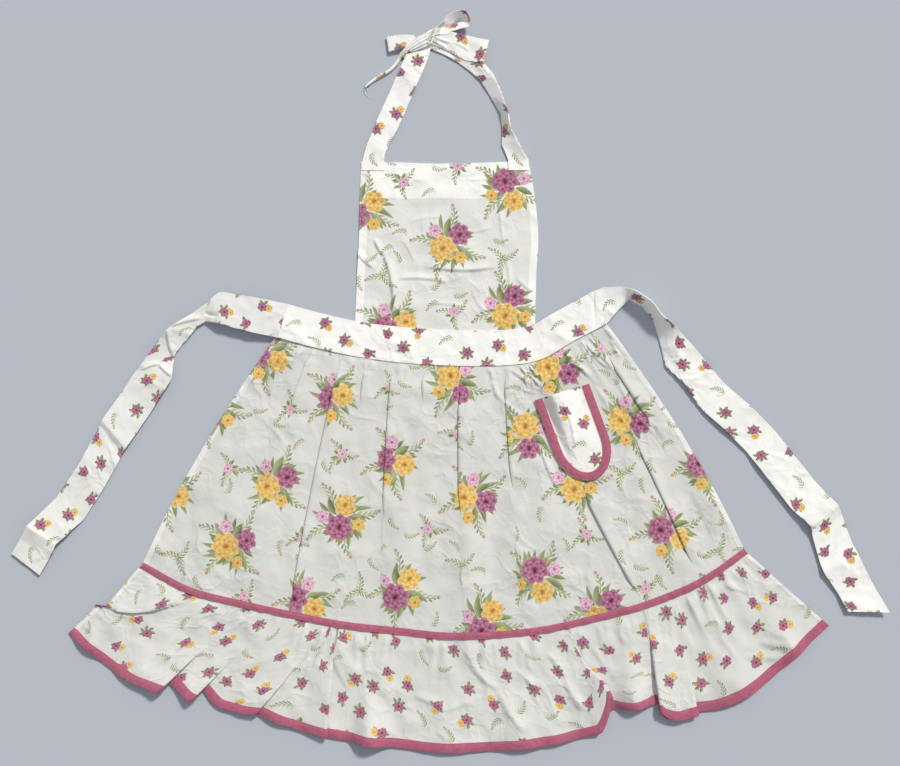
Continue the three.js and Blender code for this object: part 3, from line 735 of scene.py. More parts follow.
def strip_grid(rows, cells, width, map_width, seed):
    """Points of a strip with creases and slight waves, and its flat map, from its table."""
    place, share = spread(rows, *cells)
    if "left_x" in rows:
        points = edged_points(rows, place, share, width)
    else:
        points = strip_points(rows, place, share)
    x = points[..., 0]
    y = points[..., 1]
    relief = creases(x, y, STRIP_CREASES) + waves({**STRIP_WAVES, "seed": seed}, x, y)
    points[..., 2] = np.maximum(CLOTH / 2, points[..., 2] + relief)
    middle = run_length(points, 1)[len(points) // 2]
    return points, np.stack(np.broadcast_arrays(middle[None, :], share * map_width), -1)


# Band, ties and straps: piece, node, table, points along and across, width, seed of the waves, how much of
# a second layer shows, and flat size in metres
STRIPS = (
    ("waistband_cloth", "waistband", BAND, (221, 29), TIE_WIDTH, 31, 1.0, (0.46, 0.05)),
    ("tie_left_cloth", "waist_tie_left", TIE_LEFT, (341, 33), TIE_WIDTH, 32, LEFT_TIE_WHITE_SHARE, (0.57, 0.049)),
    ("tie_right_cloth", "waist_tie_right", TIE_RIGHT, (401, 33), TIE_WIDTH, 33, 1.0, (0.66, 0.049)),
    ("strap_left_cloth", "neck_strap_left", STRAP_LEFT, (141, 25), STRAP_WIDTH, 34, 1.0, (0.225, 0.03)),
    ("strap_right_cloth", "neck_strap_right", STRAP_RIGHT, (181, 25), STRAP_WIDTH, 35, 1.0, (0.265, 0.03)),
)


def strip_points(rows, place, share):
    """Points of a strip at places along its table and shares across it, from the left hand to the right."""
    place, share = np.broadcast_arrays(np.asarray(place, float), np.asarray(share, float))
    bend = np.radians(column(rows, "curl", place))
    bend = np.where(np.abs(bend) < 1e-4, 1e-4, bend)
    radius = column(rows, "width", place) / bend
    roll = np.radians(column(rows, "roll", place))

    def section(at):
        side = radius * np.sin(bend * at)
        up = radius * (1 - np.cos(bend * at))
        return side * np.cos(roll) - up * np.sin(roll), side * np.sin(roll) + up * np.cos(roll)

    sides, ups = section(np.linspace(-0.5, 0.5, 25)[:, None, None])
    side, up = section(share)
    out = side - (sides.min(0) + sides.max(0)) / 2
    run = np.stack([
        column(rows, "x", place + 1e-3) - column(rows, "x", place - 1e-3),
        column(rows, "y", place + 1e-3) - column(rows, "y", place - 1e-3),
    ])
    run = run / np.linalg.norm(run, axis=0)
    lift = np.maximum(0, column(rows, "lift", place))
    return np.stack([
        column(rows, "x", place) - run[1] * out,
        column(rows, "y", place) + run[0] * out,
        lift + up - ups.min(0) + CLOTH / 2,
    ], -1)


def linked(name, data):
    """Puts a new object into the scene."""
    made = bpy.data.objects.new(name, data)
    bpy.context.scene.collection.objects.link(made)
    return made


def cloth(name, points, thickness, print_map, material, doubled=None):
    """Closed cloth wall round a grid of points in plan millimetres, with its print and bake maps."""
    rows, columns = points.shape[:2]
    layers = np.zeros((rows, columns)) if doubled is None else np.broadcast_to(doubled, (rows, columns))
    half = thickness * 500 * (1 + layers[..., None]) * normals(points)
    both = np.concatenate([(points + half).reshape(-1, 3), (points - half).reshape(-1, 3)])
    verts = (both + SHIFT) / 1000
    count = rows * columns
    index = np.arange(count).reshape(rows, columns)
    a, b, c, d = index[:-1, :-1], index[1:, :-1], index[1:, 1:], index[:-1, 1:]
    upper = np.stack([a, b, c, d], -1).reshape(-1, 4)
    under = upper[:, ::-1] + count
    loop = np.concatenate([index[0, :-1], index[:-1, -1], index[-1, :0:-1], index[:0:-1, 0]])
    following = np.roll(loop, -1)
    rim = np.stack([loop, following, following + count, loop + count], -1)
    faces = np.concatenate([upper, under, rim])
    mesh = bpy.data.meshes.new(name)
    mesh.from_pydata(verts.tolist(), [], faces.tolist())
    corners = np.zeros(len(mesh.loops), int)
    mesh.loops.foreach_get("vertex_index", corners)
    flat = np.tile(print_map.reshape(-1, 2) / 1000, (2, 1))
    mesh.uv_layers.new(name="Print").uv.foreach_set("vector", flat[corners].ravel())
    down, right = np.meshgrid(np.linspace(0, 1, rows), np.linspace(0, 1, columns), indexing="ij")
    bake = np.stack([right, down * BAKE_SHARE], -1).reshape(-1, 2)
    bake = np.concatenate([bake, bake + [0, 1 - BAKE_SHARE]])[corners]
    rim_corners = slice(4 * (len(upper) + len(under)), None)
    bake[rim_corners, 1] = bake[rim_corners, 1] % (1 - BAKE_SHARE)
    mesh.uv_layers.new(name="OFBake").uv.foreach_set("vector", bake.ravel())
    mesh.attributes.new("doubled", "FLOAT", "POINT").data.foreach_set("value", np.tile(layers.ravel(), 2))
    back = np.repeat([0.0, 1.0], count)
    mesh.attributes.new("reverse", "FLOAT", "POINT").data.foreach_set("value", back)
    mesh.polygons.foreach_set("use_smooth", [True] * len(faces))
    mesh.set_sharp_from_angle(angle=math.radians(SHARP_ANGLE))
    mesh.materials.append(material)
    return linked(name, mesh)


def finish_piece(piece, node):
    """Hides a piece's CAD node and makes the piece ride on the one body."""
    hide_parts(node)
    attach(piece, "root")


def added_piece(name, verts, faces, material):
    """Makes a small piece that has no solid of its own and rides on the one body."""
    mesh = bpy.data.meshes.new(name)
    mesh.from_pydata(np.asarray(verts).tolist(), [], faces)
    mesh.polygons.foreach_set("use_smooth", [True] * len(faces))
    mesh.materials.append(material)
    piece = linked(name, mesh)
    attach(piece, "root")


def add(tree, kind, inputs=(), out=0, **settings):
    """Adds a node, sets its settings, sets or links its inputs, and gives one of its outputs."""
    made = tree.nodes.new(kind)
    for name, value in settings.items():
        setattr(made, name, value)
    pairs = inputs.items() if isinstance(inputs, dict) else enumerate(inputs)
    for socket, value in pairs:
        if isinstance(value, bpy.types.NodeSocket):
            tree.links.new(value, made.inputs[socket])
        elif value is not None:
            made.inputs[socket].default_value = value
    return made.outputs[out] if len(made.outputs) else made


MATH = "ShaderNodeMath"
VECTOR = "ShaderNodeVectorMath"
RANGE = "ShaderNodeMapRange"
MIX = "ShaderNodeMix"
# Scale of a wave texture whose waves are one unit apart
WAVE_SCALE = 0.314


def group_tree(name, inputs, outputs):
    """An empty shader group with named inputs and outputs, and its input sockets."""
    tree = bpy.data.node_groups.new(name, "ShaderNodeTree")
    for label, kind in inputs:
        tree.interface.new_socket(label, in_out="INPUT", socket_type=kind)
    for label, kind in outputs:
        tree.interface.new_socket(label, in_out="OUTPUT", socket_type=kind)
    return tree, tree.nodes.new("NodeGroupInput").outputs


def blossom_group():
    """An open round blossom of unit radius: two rings of petals, an inner ring and a heart."""
    if "Blossom" in bpy.data.node_groups:
        return bpy.data.node_groups["Blossom"]
    tree, given = group_tree(
        "Blossom",
        (("Vector", "NodeSocketVector"), ("Petals", "NodeSocketFloat"), ("Deep", "NodeSocketColor"),
         ("Pale", "NodeSocketColor"), ("Heart", "NodeSocketColor")),
        (("Color", "NodeSocketColor"), ("Mask", "NodeSocketFloat")),
    )
    uneven = {"Vector": given["Vector"], "Scale": 2.6, "Detail": 1.0}
    wobble = add(tree, "ShaderNodeTexNoise", uneven, "Color")
    wobble = add(tree, VECTOR, (wobble, (0.5, 0.5, 0.5)), operation="SUBTRACT")
    place = add(tree, VECTOR, (wobble, (0.3, 0.3, 0.0), given["Vector"]), operation="MULTIPLY_ADD")
    place = add(tree, VECTOR, (place, (1, 1, 0)), operation="MULTIPLY")
    split = add(tree, "ShaderNodeSeparateXYZ", (place,)).node.outputs
    radius = add(tree, VECTOR, (place,), "Value", operation="LENGTH")
    angle = add(tree, MATH, (split["Y"], split["X"]), operation="ARCTAN2")
    half = add(tree, MATH, (given["Petals"], 0.5), operation="MULTIPLY")
    turn = add(tree, MATH, (angle, half), operation="MULTIPLY")
    reaches = []
    fullness = []
    for wave in ("COSINE", "SINE"):
        lobe = add(tree, MATH, (add(tree, MATH, (turn,), operation=wave),), operation="ABSOLUTE")
        edge = add(tree, MATH, (lobe, 0.24, 0.76), operation="MULTIPLY_ADD")
        reaches.append(add(tree, MATH, (radius, edge), operation="DIVIDE"))
        fullness.append(lobe)
    shades = []
    for ring, low, high in ((0, 0.60, 1.0), (1, 0.34, 0.72), (0, 0.08, 0.46)):
        shade = add(tree, RANGE, (reaches[ring], low, high, 0.0, 1.0))
        lit = add(tree, MATH, (fullness[ring], 0.55, 0.45), operation="MULTIPLY_ADD")
        shades.append(add(tree, MATH, (shade, lit), operation="MULTIPLY"))
    outer = add(tree, MATH, (reaches[1], 0.72), operation="GREATER_THAN")
    middle = add(tree, MATH, (reaches[0], 0.46), operation="GREATER_THAN")
    inner = add(tree, MIX, {0: middle, 2: shades[2], 3: shades[1]})
    shade = add(tree, MIX, {0: outer, 2: inner, 3: shades[0]})
    streak = add(tree, "ShaderNodeTexNoise", {"Vector": given["Vector"], "Scale": 7.0, "Detail": 2.0}, "Fac")
    streak = add(tree, MATH, (streak, 0.9, -0.45), operation="MULTIPLY_ADD")
    shade = add(tree, MATH, (shade, streak), operation="ADD", use_clamp=True)
    petal = add(tree, MIX, {0: shade, 6: given["Deep"], 7: given["Pale"]}, 2, data_type="RGBA")
    heart = add(tree, RANGE, (radius, 0.24, 0.06, 0.0, 0.9))
    colour = add(tree, MIX, {0: heart, 6: petal, 7: given["Heart"]}, 2, data_type="RGBA")
    mask = add(tree, RANGE, (reaches[0], 1.05, 0.93, 0.0, 1.0))
    add(tree, "NodeGroupOutput", (colour, mask))
    return tree


def leaf_fan_group():
    """Leaves that spread out from a middle to unit radius, each a little different."""
    if "Leaf fan" in bpy.data.node_groups:
        return bpy.data.node_groups["Leaf fan"]
    tree, given = group_tree(
        "Leaf fan",
        (("Vector", "NodeSocketVector"), ("Leaves", "NodeSocketFloat"), ("Root", "NodeSocketFloat"),
         ("Width", "NodeSocketFloat"), ("Seed", "NodeSocketFloat"), ("Deep", "NodeSocketColor"),
         ("Pale", "NodeSocketColor")),
        (("Color", "NodeSocketColor"), ("Mask", "NodeSocketFloat")),
    )
    place = add(tree, VECTOR, (given["Vector"], (1, 1, 0)), operation="MULTIPLY")
    split = add(tree, "ShaderNodeSeparateXYZ", (place,)).node.outputs
    radius = add(tree, VECTOR, (place,), "Value", operation="LENGTH")
    angle = add(tree, MATH, (split["Y"], split["X"]), operation="ARCTAN2")
    bend = add(tree, MATH, (radius, 0.5, angle), operation="MULTIPLY_ADD")
    share = add(tree, MATH, (bend, 1 / (2 * math.pi)), operation="MULTIPLY")
    share = add(tree, MATH, (share, given["Leaves"]), operation="MULTIPLY")
    number = add(tree, MATH, (share,), operation="FLOOR")
    number = add(tree, MATH, (number, given["Leaves"]), operation="FLOORED_MODULO")
    luck = add(tree, MATH, (given["Seed"], 37.0, number), operation="MULTIPLY_ADD")
    luck = add(tree, "ShaderNodeTexWhiteNoise", {"W": luck}, "Value", noise_dimensions="1D")
    off = add(tree, MATH, (add(tree, MATH, (share,), operation="FRACT"), 0.5), operation="SUBTRACT")
    wide = add(tree, MATH, (2 * math.pi, given["Leaves"]), operation="DIVIDE")
    off = add(tree, MATH, (add(tree, MATH, (off, wide), operation="MULTIPLY"), radius), operation="MULTIPLY")
    tip = add(tree, MATH, (luck, 0.38, 0.62), operation="MULTIPLY_ADD")
    along = add(tree, RANGE, (radius, given["Root"], tip, 0.0, 1.0))
    arch = add(tree, MATH, (add(tree, MATH, (along, math.pi), operation="MULTIPLY"),), operation="SINE")
    half = add(tree, MATH, (arch, given["Width"]), operation="MULTIPLY")
    gap = add(tree, MATH, (half, add(tree, MATH, (off,), operation="ABSOLUTE")), operation="SUBTRACT")
    mask = add(tree, RANGE, (gap, -0.005, 0.02, 0.0, 1.0))
    grown = add(tree, MATH, (luck, 0.22), operation="GREATER_THAN")
    mask = add(tree, MATH, (mask, grown), operation="MULTIPLY")
    lit = add(tree, RANGE, (off, -0.08, 0.08, 0.15, 0.85))
    lit = add(tree, MATH, (luck, 0.5, lit), operation="MULTIPLY_ADD")
    lit = add(tree, MATH, (lit, 0.3), operation="SUBTRACT", use_clamp=True)
    colour = add(tree, MIX, {0: lit, 6: given["Deep"], 7: given["Pale"]}, 2, data_type="RGBA")
    add(tree, "NodeGroupOutput", (colour, mask))
    return tree


def sprig_group():
    """A curved stem of unit half length with pairs of small leaves and a bud at its end."""
    if "Sprig" in bpy.data.node_groups:
        return bpy.data.node_groups["Sprig"]
    tree, given = group_tree(
        "Sprig",
        (("Vector", "NodeSocketVector"), ("Deep", "NodeSocketColor"), ("Pale", "NodeSocketColor"),
         ("Bud", "NodeSocketColor")),
        (("Color", "NodeSocketColor"), ("Mask", "NodeSocketFloat")),
    )
    split = add(tree, "ShaderNodeSeparateXYZ", (given["Vector"],)).node.outputs
    curve = add(tree, MATH, (split["X"], split["X"]), operation="MULTIPLY")
    side = add(tree, MATH, (curve, -0.3, split["Y"]), operation="MULTIPLY_ADD")
    away = add(tree, MATH, (side,), operation="ABSOLUTE")
    shift = add(tree, MATH, (side,), operation="SIGN")
    swept = add(tree, MATH, (away, -1.1, split["X"]), operation="MULTIPLY_ADD")
    swept = add(tree, MATH, (shift, 0.1, swept), operation="MULTIPLY_ADD")
    pair = add(tree, MATH, (swept, 2.4), operation="MULTIPLY")
    pair = add(tree, MATH, (add(tree, MATH, (pair,), operation="FRACT"), 0.5), operation="SUBTRACT")
    pair = add(tree, MATH, (add(tree, MATH, (pair,), operation="ABSOLUTE"), 1 / 2.4), operation="MULTIPLY")
    taper = add(tree, RANGE, (split["X"], -0.8, 0.9, 0.5, 0.26))
    along = add(tree, MATH, (away, taper), operation="DIVIDE", use_clamp=True)
    arch = add(tree, MATH, (add(tree, MATH, (along, math.pi), operation="MULTIPLY"),), operation="SINE")
    half = add(tree, MATH, (arch, 0.13), operation="MULTIPLY")
    leaf = add(tree, RANGE, (add(tree, MATH, (half, pair), operation="SUBTRACT"), -0.01, 0.04, 0.0, 1.0))
    from_middle = add(tree, MATH, (split["X"],), operation="ABSOLUTE")
    inside = add(tree, MATH, (from_middle, 0.85), operation="LESS_THAN")
    leaf = add(tree, MATH, (leaf, inside), operation="MULTIPLY")
    stem = add(tree, RANGE, (away, 0.05, 0.03, 0.0, 1.0))
    length = add(tree, MATH, (from_middle, 1.0), operation="LESS_THAN")
    stem = add(tree, MATH, (stem, length), operation="MULTIPLY")
    green = add(tree, MATH, (leaf, stem), operation="MAXIMUM")
    lit = add(tree, RANGE, (side, -0.3, 0.3, 0.0, 1.0))
    colour = add(tree, MIX, {0: lit, 6: given["Deep"], 7: given["Pale"]}, 2, data_type="RGBA")
    bud = add(tree, VECTOR, (given["Vector"], (1.0, 0.3, 0.0)), "Value", operation="DISTANCE")
    bud = add(tree, RANGE, (bud, 0.17, 0.1, 0.0, 0.9))
    colour = add(tree, MIX, {0: bud, 6: colour, 7: given["Bud"]}, 2, data_type="RGBA")
    mask = add(tree, MATH, (green, bud), operation="MAXIMUM")
    add(tree, "NodeGroupOutput", (colour, mask))
    return tree


def scatter(tree, place, spacing, randomness, spin):
    """A tossed layout: the place in each motif's own cell in metres, turned at random, luck and middle."""
    layout = {"Vector": place, "Scale": 1 / spacing, "Randomness": randomness}
    cells = add(tree, "ShaderNodeTexVoronoi", layout, "Position", voronoi_dimensions="2D").node.outputs
    local = add(tree, VECTOR, (place, cells["Position"]), operation="SUBTRACT")
    luck = add(tree, "ShaderNodeSeparateColor", (cells["Color"],)).node.outputs
    angle = add(tree, MATH, (luck["Red"], 2 * spin, -spin), operation="MULTIPLY_ADD")
    local = add(tree, "ShaderNodeVectorRotate", {"Vector": local, "Angle": angle}, rotation_type="Z_AXIS")
    return local, luck, cells["Position"]


# Colours of the print: deep and pale of each blossom with its heart, and of the leaves
PLUM = ("7B2F52", "C98CA9", "5A1E3A")
GOLD = ("CF973A", "F2D68C", "A8701F")
PINK = ("C583A6", "F0D3E0", "A05D84")
LEAF = ("5F6A3C", "AEB588")
SPRIG = ("78834F", "BAC193")
# Ground colours between which a single thin layer is mottled, and how much of the print its reverse shows
THIN_CLOTH = ("D3D3CF", "DDDDD9")
SHOW_THROUGH = 0.22


def motif(tree, colour, place, size, group, values, allowed):
    """Paints one motif of a size in metres over a colour, where it is allowed."""
    place = add(tree, VECTOR, {0: place, "Scale": 1 / size}, operation="SCALE")
    drawn = add(tree, "ShaderNodeGroup", {"Vector": place, **values}, "Color", node_tree=group).node.outputs
    mask = drawn["Mask"]
    if allowed is not None:
        mask = add(tree, MATH, (mask, allowed), operation="MULTIPLY")
    return add(tree, MIX, {0: mask, 6: colour, 7: drawn["Color"]}, 2, data_type="RGBA")


def painted(tree, colour, local, size, middle, petals, shades, allowed=None):
    """Paints one blossom of a size in metres over a colour."""
    place = add(tree, VECTOR, (local, (*middle, 0)), operation="SUBTRACT")
    deep, pale, heart = map(linear, shades)
    values = {"Petals": petals, "Deep": deep, "Pale": pale, "Heart": heart}
    return motif(tree, colour, place, size, blossom_group(), values, allowed)


def leaved(tree, colour, local, size, leaves, root, width, seed, allowed=None):
    """Paints one fan of leaves of a size in metres over a colour."""
    deep, pale = map(linear, LEAF)
    values = {"Leaves": leaves, "Root": root, "Width": width, "Seed": seed, "Deep": deep, "Pale": pale}
    return motif(tree, colour, local, size, leaf_fan_group(), values, allowed)


def sprigged(tree, colour, local, size, bud, allowed):
    """Paints one sprig of a size in metres over a colour."""
    deep, pale = map(linear, SPRIG)
    values = {"Deep": deep, "Pale": pale, "Bud": linear(bud)}
    return motif(tree, colour, local, size, sprig_group(), values, allowed)


# Spacing in metres and unevenness of the posies, and of the sprays between them
POSIES = (0.128, 0.3)
SPRAYS = (0.06, 0.45)


def away_from_posies(tree, spot, reach):
    """Whether a motif's middle is further than a reach from the middle of the nearest posy."""
    posy = scatter(tree, spot, *POSIES, 0.0)[2]
    apart = add(tree, VECTOR, (spot, posy), "Value", operation="DISTANCE")
    return add(tree, MATH, (apart, reach), operation="GREATER_THAN")


def large_print(tree, place, ground):
    """Posies about 80 mm wide, with leafy sprays about 36 mm wide between them."""
    place = add(tree, "ShaderNodeVectorRotate", {"Vector": place, "Angle": 0.62}, rotation_type="Z_AXIS")
    local, luck, _ = scatter(tree, place, *POSIES, 1.5)
    spray, chance, middle = scatter(tree, place, *SPRAYS, 3.1)
    clear = away_from_posies(tree, middle, 0.066)
    budded = add(tree, MATH, (chance["Green"], 0.4), operation="GREATER_THAN")
    budded = add(tree, MATH, (budded, clear), operation="MULTIPLY")
    tiny, _, spot = scatter(tree, place, 0.033, 0.5, 3.1)
    nearest = scatter(tree, spot, *SPRAYS, 0.0)[2]
    near = add(tree, VECTOR, (spot, nearest), "Value", operation="DISTANCE")
    beside = add(tree, MATH, (near, 0.022), operation="GREATER_THAN")
    beside = add(tree, MATH, (beside, away_from_posies(tree, spot, 0.06)), operation="MULTIPLY")
    colour = sprigged(tree, ground, tiny, 0.0105, GOLD[0], beside)
    for turn in (0.0, 2.2, 4.1):
        turned = add(tree, "ShaderNodeVectorRotate", {"Vector": spray, "Angle": turn}, rotation_type="Z_AXIS")
        turned = add(tree, VECTOR, (turned, (0.011, 0, 0)), operation="SUBTRACT")
        colour = sprigged(tree, colour, turned, 0.0135, PINK[0], clear)
    colour = leaved(tree, colour, spray, 0.0165, 7.0, 0.16, 0.15, chance["Blue"], budded)
    colour = painted(tree, colour, spray, 0.0078, (0.001, 0.002), 5.0, PINK, budded)
    for turn, bud in ((0.5, PINK[0]), (2.0, GOLD[0]), (3.3, PINK[0]), (4.9, PLUM[1])):
        turned = add(tree, "ShaderNodeVectorRotate", {"Vector": local, "Angle": turn}, rotation_type="Z_AXIS")
        turned = add(tree, VECTOR, (turned, (0.036, 0, 0)), operation="SUBTRACT")
        colour = sprigged(tree, colour, turned, 0.018, bud, 1.0)
    colour = leaved(tree, colour, local, 0.048, 15.0, 0.3, 0.075, luck["Green"])
    colour = leaved(tree, colour, local, 0.042, 11.0, 0.2, 0.12, luck["Red"])
    colour = leaved(tree, colour, local, 0.035, 8.0, 0.2, 0.17, luck["Green"])
    swap = add(tree, MATH, (luck["Blue"], 0.5), operation="GREATER_THAN")
    stay = add(tree, MATH, (1.0, swap), operation="SUBTRACT")
    colour = painted(tree, colour, local, 0.0105, (-0.020, 0.017), 5.0, PINK)
    colour = painted(tree, colour, local, 0.0095, (0.016, -0.021), 6.0, GOLD)
    for shades, chosen in ((GOLD, stay), (PLUM, swap)):
        colour = painted(tree, colour, local, 0.0165, (0.015, 0.012), 6.0, shades, chosen)
    for shades, chosen in ((PLUM, stay), (GOLD, swap)):
        colour = painted(tree, colour, local, 0.020, (-0.009, -0.008), 7.0, shades, chosen)
    return colour


def small_print(tree, place, ground):
    """Single blossoms and pairs about 15 mm wide, and small sprigs, about 40 mm apart."""
    place = add(tree, "ShaderNodeVectorRotate", {"Vector": place, "Angle": 0.5}, rotation_type="Z_AXIS")
    local, luck, _ = scatter(tree, place, 0.037, 0.4, 3.1)
    flower = add(tree, MATH, (luck["Green"], 0.6), operation="LESS_THAN")
    pair = add(tree, RANGE, (luck["Green"], 0.28, 0.2801, 1.0, 0.0))
    sprig = add(tree, MATH, (1.0, flower), operation="SUBTRACT")
    colour = sprigged(tree, ground, local, 0.0105, PINK[0], sprig)
    colour = leaved(tree, colour, local, 0.0125, 7.0, 0.25, 0.2, luck["Blue"], flower)
    colour = painted(tree, colour, local, 0.0052, (0.0065, 0.004), 6.0, GOLD, pair)
    return painted(tree, colour, local, 0.0068, (-0.001, -0.001), 6.0, PLUM, flower)


def woven_bump(tree, place, thread, depth, crinkle, press):
    """Bump of a plain weave with a thread spacing in metres, of fine crinkles and of pressed crumples.

    The crinkles are about 17 mm across and the crumples about 50 mm, with ridges 35 and 75 mm apart.
    """
    grid = None
    for turn in (0.0, math.pi / 2):
        turned = add(tree, "ShaderNodeMapping", {"Vector": place, "Rotation": (0, 0, turn)})
        lines = {"Vector": turned, "Scale": WAVE_SCALE / thread, "Distortion": 0.6}
        threads = add(tree, "ShaderNodeTexWave", lines, "Fac")
        grid = threads if grid is None else add(tree, MATH, (grid, threads), operation="ADD")
    weave = add(tree, "ShaderNodeBump", {"Height": grid, "Strength": 0.35, "Distance": depth})
    fine = {"Vector": place, "Scale": 60.0, "Detail": 4.0, "Roughness": 0.55}
    rumple = add(tree, "ShaderNodeTexNoise", fine, "Fac")
    rumpled = {"Height": rumple, "Strength": 0.6, "Distance": crinkle, "Normal": weave}
    soft = add(tree, "ShaderNodeBump", rumpled)
    shift = add(tree, "ShaderNodeTexNoise", {"Vector": place, "Scale": 18.0, "Detail": 2.0}, "Color")
    bent = add(tree, VECTOR, (shift, (0.022, 0.022, 0.0), place), operation="MULTIPLY_ADD")
    facets = {"Vector": bent, "Scale": 19.0}
    facet = add(tree, "ShaderNodeTexVoronoi", facets, "Distance", voronoi_dimensions="2D")
    height = add(tree, MATH, (facet, 2.0), operation="POWER")
    for scale, share in ((13.0, 0.28), (29.0, 0.14)):
        ridges = {"Vector": place, "Scale": scale, "Detail": 2.0, "Distortion": 0.4}
        ridge = add(tree, "ShaderNodeTexNoise", ridges, "Fac")
        ridge = add(tree, MATH, (add(tree, MATH, (ridge, 0.5), operation="SUBTRACT"),), operation="ABSOLUTE")
        ridge = add(tree, RANGE, (ridge, 0.0, 0.09, share, 0.0))
        height = add(tree, MATH, (height, ridge), operation="ADD")
    part = add(tree, "ShaderNodeTexNoise", {"Vector": place, "Scale": 9.0, "Detail": 1.0}, "Fac")
    part = add(tree, RANGE, (part, 0.4, 0.65, 0.25, 1.0))
    height = add(tree, MATH, (height, part), operation="MULTIPLY")
    return add(tree, "ShaderNodeBump", {"Height": height, "Strength": 1.0, "Distance": press, "Normal": soft})


def new_material(name, values):
    """A material with values on its shader's own sockets, and that shader."""
    material = bpy.data.materials.new(name)
    material.use_nodes = True
    shader = material.node_tree.nodes["Principled BSDF"]
    for socket, value in values.items():
        shader.inputs[socket].default_value = value
    return material, shader


def cotton(name, paint):
    """Plain woven printed cotton: matt with a soft sheen, a faint thread grid, whiter where it is doubled
    in hems, and its print shows through only faintly on the reverse."""
    if name in bpy.data.materials:
        return bpy.data.materials[name]
    values = {"Roughness": 0.88, "Specular IOR Level": 0.3, "Sheen Weight": 0.12}
    material, shader = new_material(name, values)
    tree = material.node_tree
    place = add(tree, "ShaderNodeUVMap", uv_map="Print")
    mottle = add(tree, "ShaderNodeTexNoise", {"Vector": place, "Scale": 14.0, "Detail": 3.0}, "Fac")
    thin = {0: mottle, 6: linear(THIN_CLOTH[0]), 7: linear(THIN_CLOTH[1])}
    single = add(tree, MIX, thin, 2, data_type="RGBA")
    doubled = add(tree, "ShaderNodeAttribute", out="Fac", attribute_name="doubled")
    white = linear(bpy.context.scene.apron_colours.cloth)
    ground = add(tree, MIX, {0: doubled, 6: single, 7: white}, 2, data_type="RGBA")
    colour = paint(tree, place, ground)
    back = add(tree, "ShaderNodeAttribute", out="Fac", attribute_name="reverse")
    back = add(tree, MATH, (back, doubled), operation="SUBTRACT", use_clamp=True)
    faded = add(tree, MIX, {0: SHOW_THROUGH, 6: ground, 7: colour}, 2, data_type="RGBA")
    colour = add(tree, MIX, {0: back, 6: colour, 7: faded}, 2, data_type="RGBA")
    tree.links.new(colour, shader.inputs["Base Color"])
    # Threads of about 0.35 mm are too fine for the render, so they are drawn 1.1 mm apart
    tree.links.new(woven_bump(tree, place, 0.0011, 0.00012, 0.0006, 0.0045), shader.inputs["Normal"])
    return material


def printed_cotton():
    """Cotton with the large print, for bib and skirt."""
    return cotton("Printed cotton", large_print)


def small_print_cotton():
    """Cotton with the small print, for ruffle, band, ties, straps and pocket."""
    return cotton("Small print cotton", small_print)


def rose_tape():
    """Woven cotton tape: matt, one colour a little uneven in the dye, fine cross threads."""
    name = "Rose cotton tape"
    if name in bpy.data.materials:
        return bpy.data.materials[name]
    values = {"Roughness": 0.82, "Specular IOR Level": 0.3, "Sheen Weight": 0.15}
    material, shader = new_material(name, values)
    tree = material.node_tree
    place = add(tree, "ShaderNodeUVMap", uv_map="Print")
    dye = add(tree, "ShaderNodeTexNoise", {"Vector": place, "Scale": 180.0, "Detail": 4.0}, "Fac")
    dye = add(tree, RANGE, (dye, 0.3, 0.7, 0.0, 1.0))
    tape = linear(bpy.context.scene.apron_colours.tape)
    worn = [min(1.0, value * 1.22 + 0.02) for value in tape[:3]] + [1.0]
    colour = add(tree, MIX, {0: dye, 6: tape, 7: worn}, 2, data_type="RGBA")
    tree.links.new(colour, shader.inputs["Base Color"])
    # Its threads are drawn 1.2 mm apart, coarser than real ones, so that they show
    tree.links.new(woven_bump(tree, place, 0.0012, 0.0002, 0.0004, 0.0006), shader.inputs["Normal"])
    return material


def spun_thread(name, colour):
    """Spun sewing thread: matt with a faint sheen, one plain colour."""
    if name in bpy.data.materials:
        return bpy.data.materials[name]
    values = {"Base Color": linear(colour), "Roughness": 0.7, "Sheen Weight": 0.2}
    return new_material(name, values)[0]


def sewing_thread():
    """White thread of the hems."""
    return spun_thread("White sewing thread", "F1EFE8")


def rose_thread():
    """Thread of the tapes, a little paler than they are."""
    return spun_thread("Rose sewing thread", "C9788F")


def bib_points(across, level):
    """Points of the bib at shares across it and levels of its table."""
    across = across[None, :]
    level = level[:, None]
    x = lerp(column(BIB, "left", level), column(BIB, "right", level), across)
    dip = BIB_TOP_DIP * bump(2 * across - 1) * np.maximum(0, 1 - level)
    y = column(BIB, "y", level) - dip
    last = len(BIB["y"]) - 1
    free = ease(level / BIB_FREE["top"]) * ease((last - BIB_FREE["foot"] - level) / BIB_FREE["foot"])
    side = np.minimum(across, 1 - across) * BIB_WIDTH
    inside = ease((side - STRAP_WIDTH - BIB_FREE["strap_gap"]) / BIB_FREE["strap_fade"])
    free = free * np.maximum(inside, ease((level - BIB_FREE["below"]) / BIB_FREE["top"]))
    relief = creases(x, y, BIB_CREASES) + waves(BIB_WAVES, x, y)
    return np.stack(np.broadcast_arrays(x, y, CLOTH / 2 + np.maximum(0, free * relief)), -1)


FINE = np.linspace(0, LAST_RIB, 1201)


def at_rib(line, rib):
    """Points on a line that is given at the fine ribs."""
    return np.stack([np.interp(rib, FINE, line[:, k]) for k in range(3)], -1)


def seam_line():
    """Points of the seam between skirt and ruffle at the fine ribs."""
    spacing = column(RIBS, "seam_x", FINE + 0.5) - column(RIBS, "seam_x", FINE - 0.5)
    z = np.full(FINE.shape, CLOTH / 2)
    for wave in rows_of(SEAM_WAVES):
        z = z + wave["height"] * bump((FINE - wave["rib"]) * spacing / wave["span"])
    return np.stack([column(RIBS, "seam_x", FINE), column(RIBS, "seam_y", FINE), z], -1)


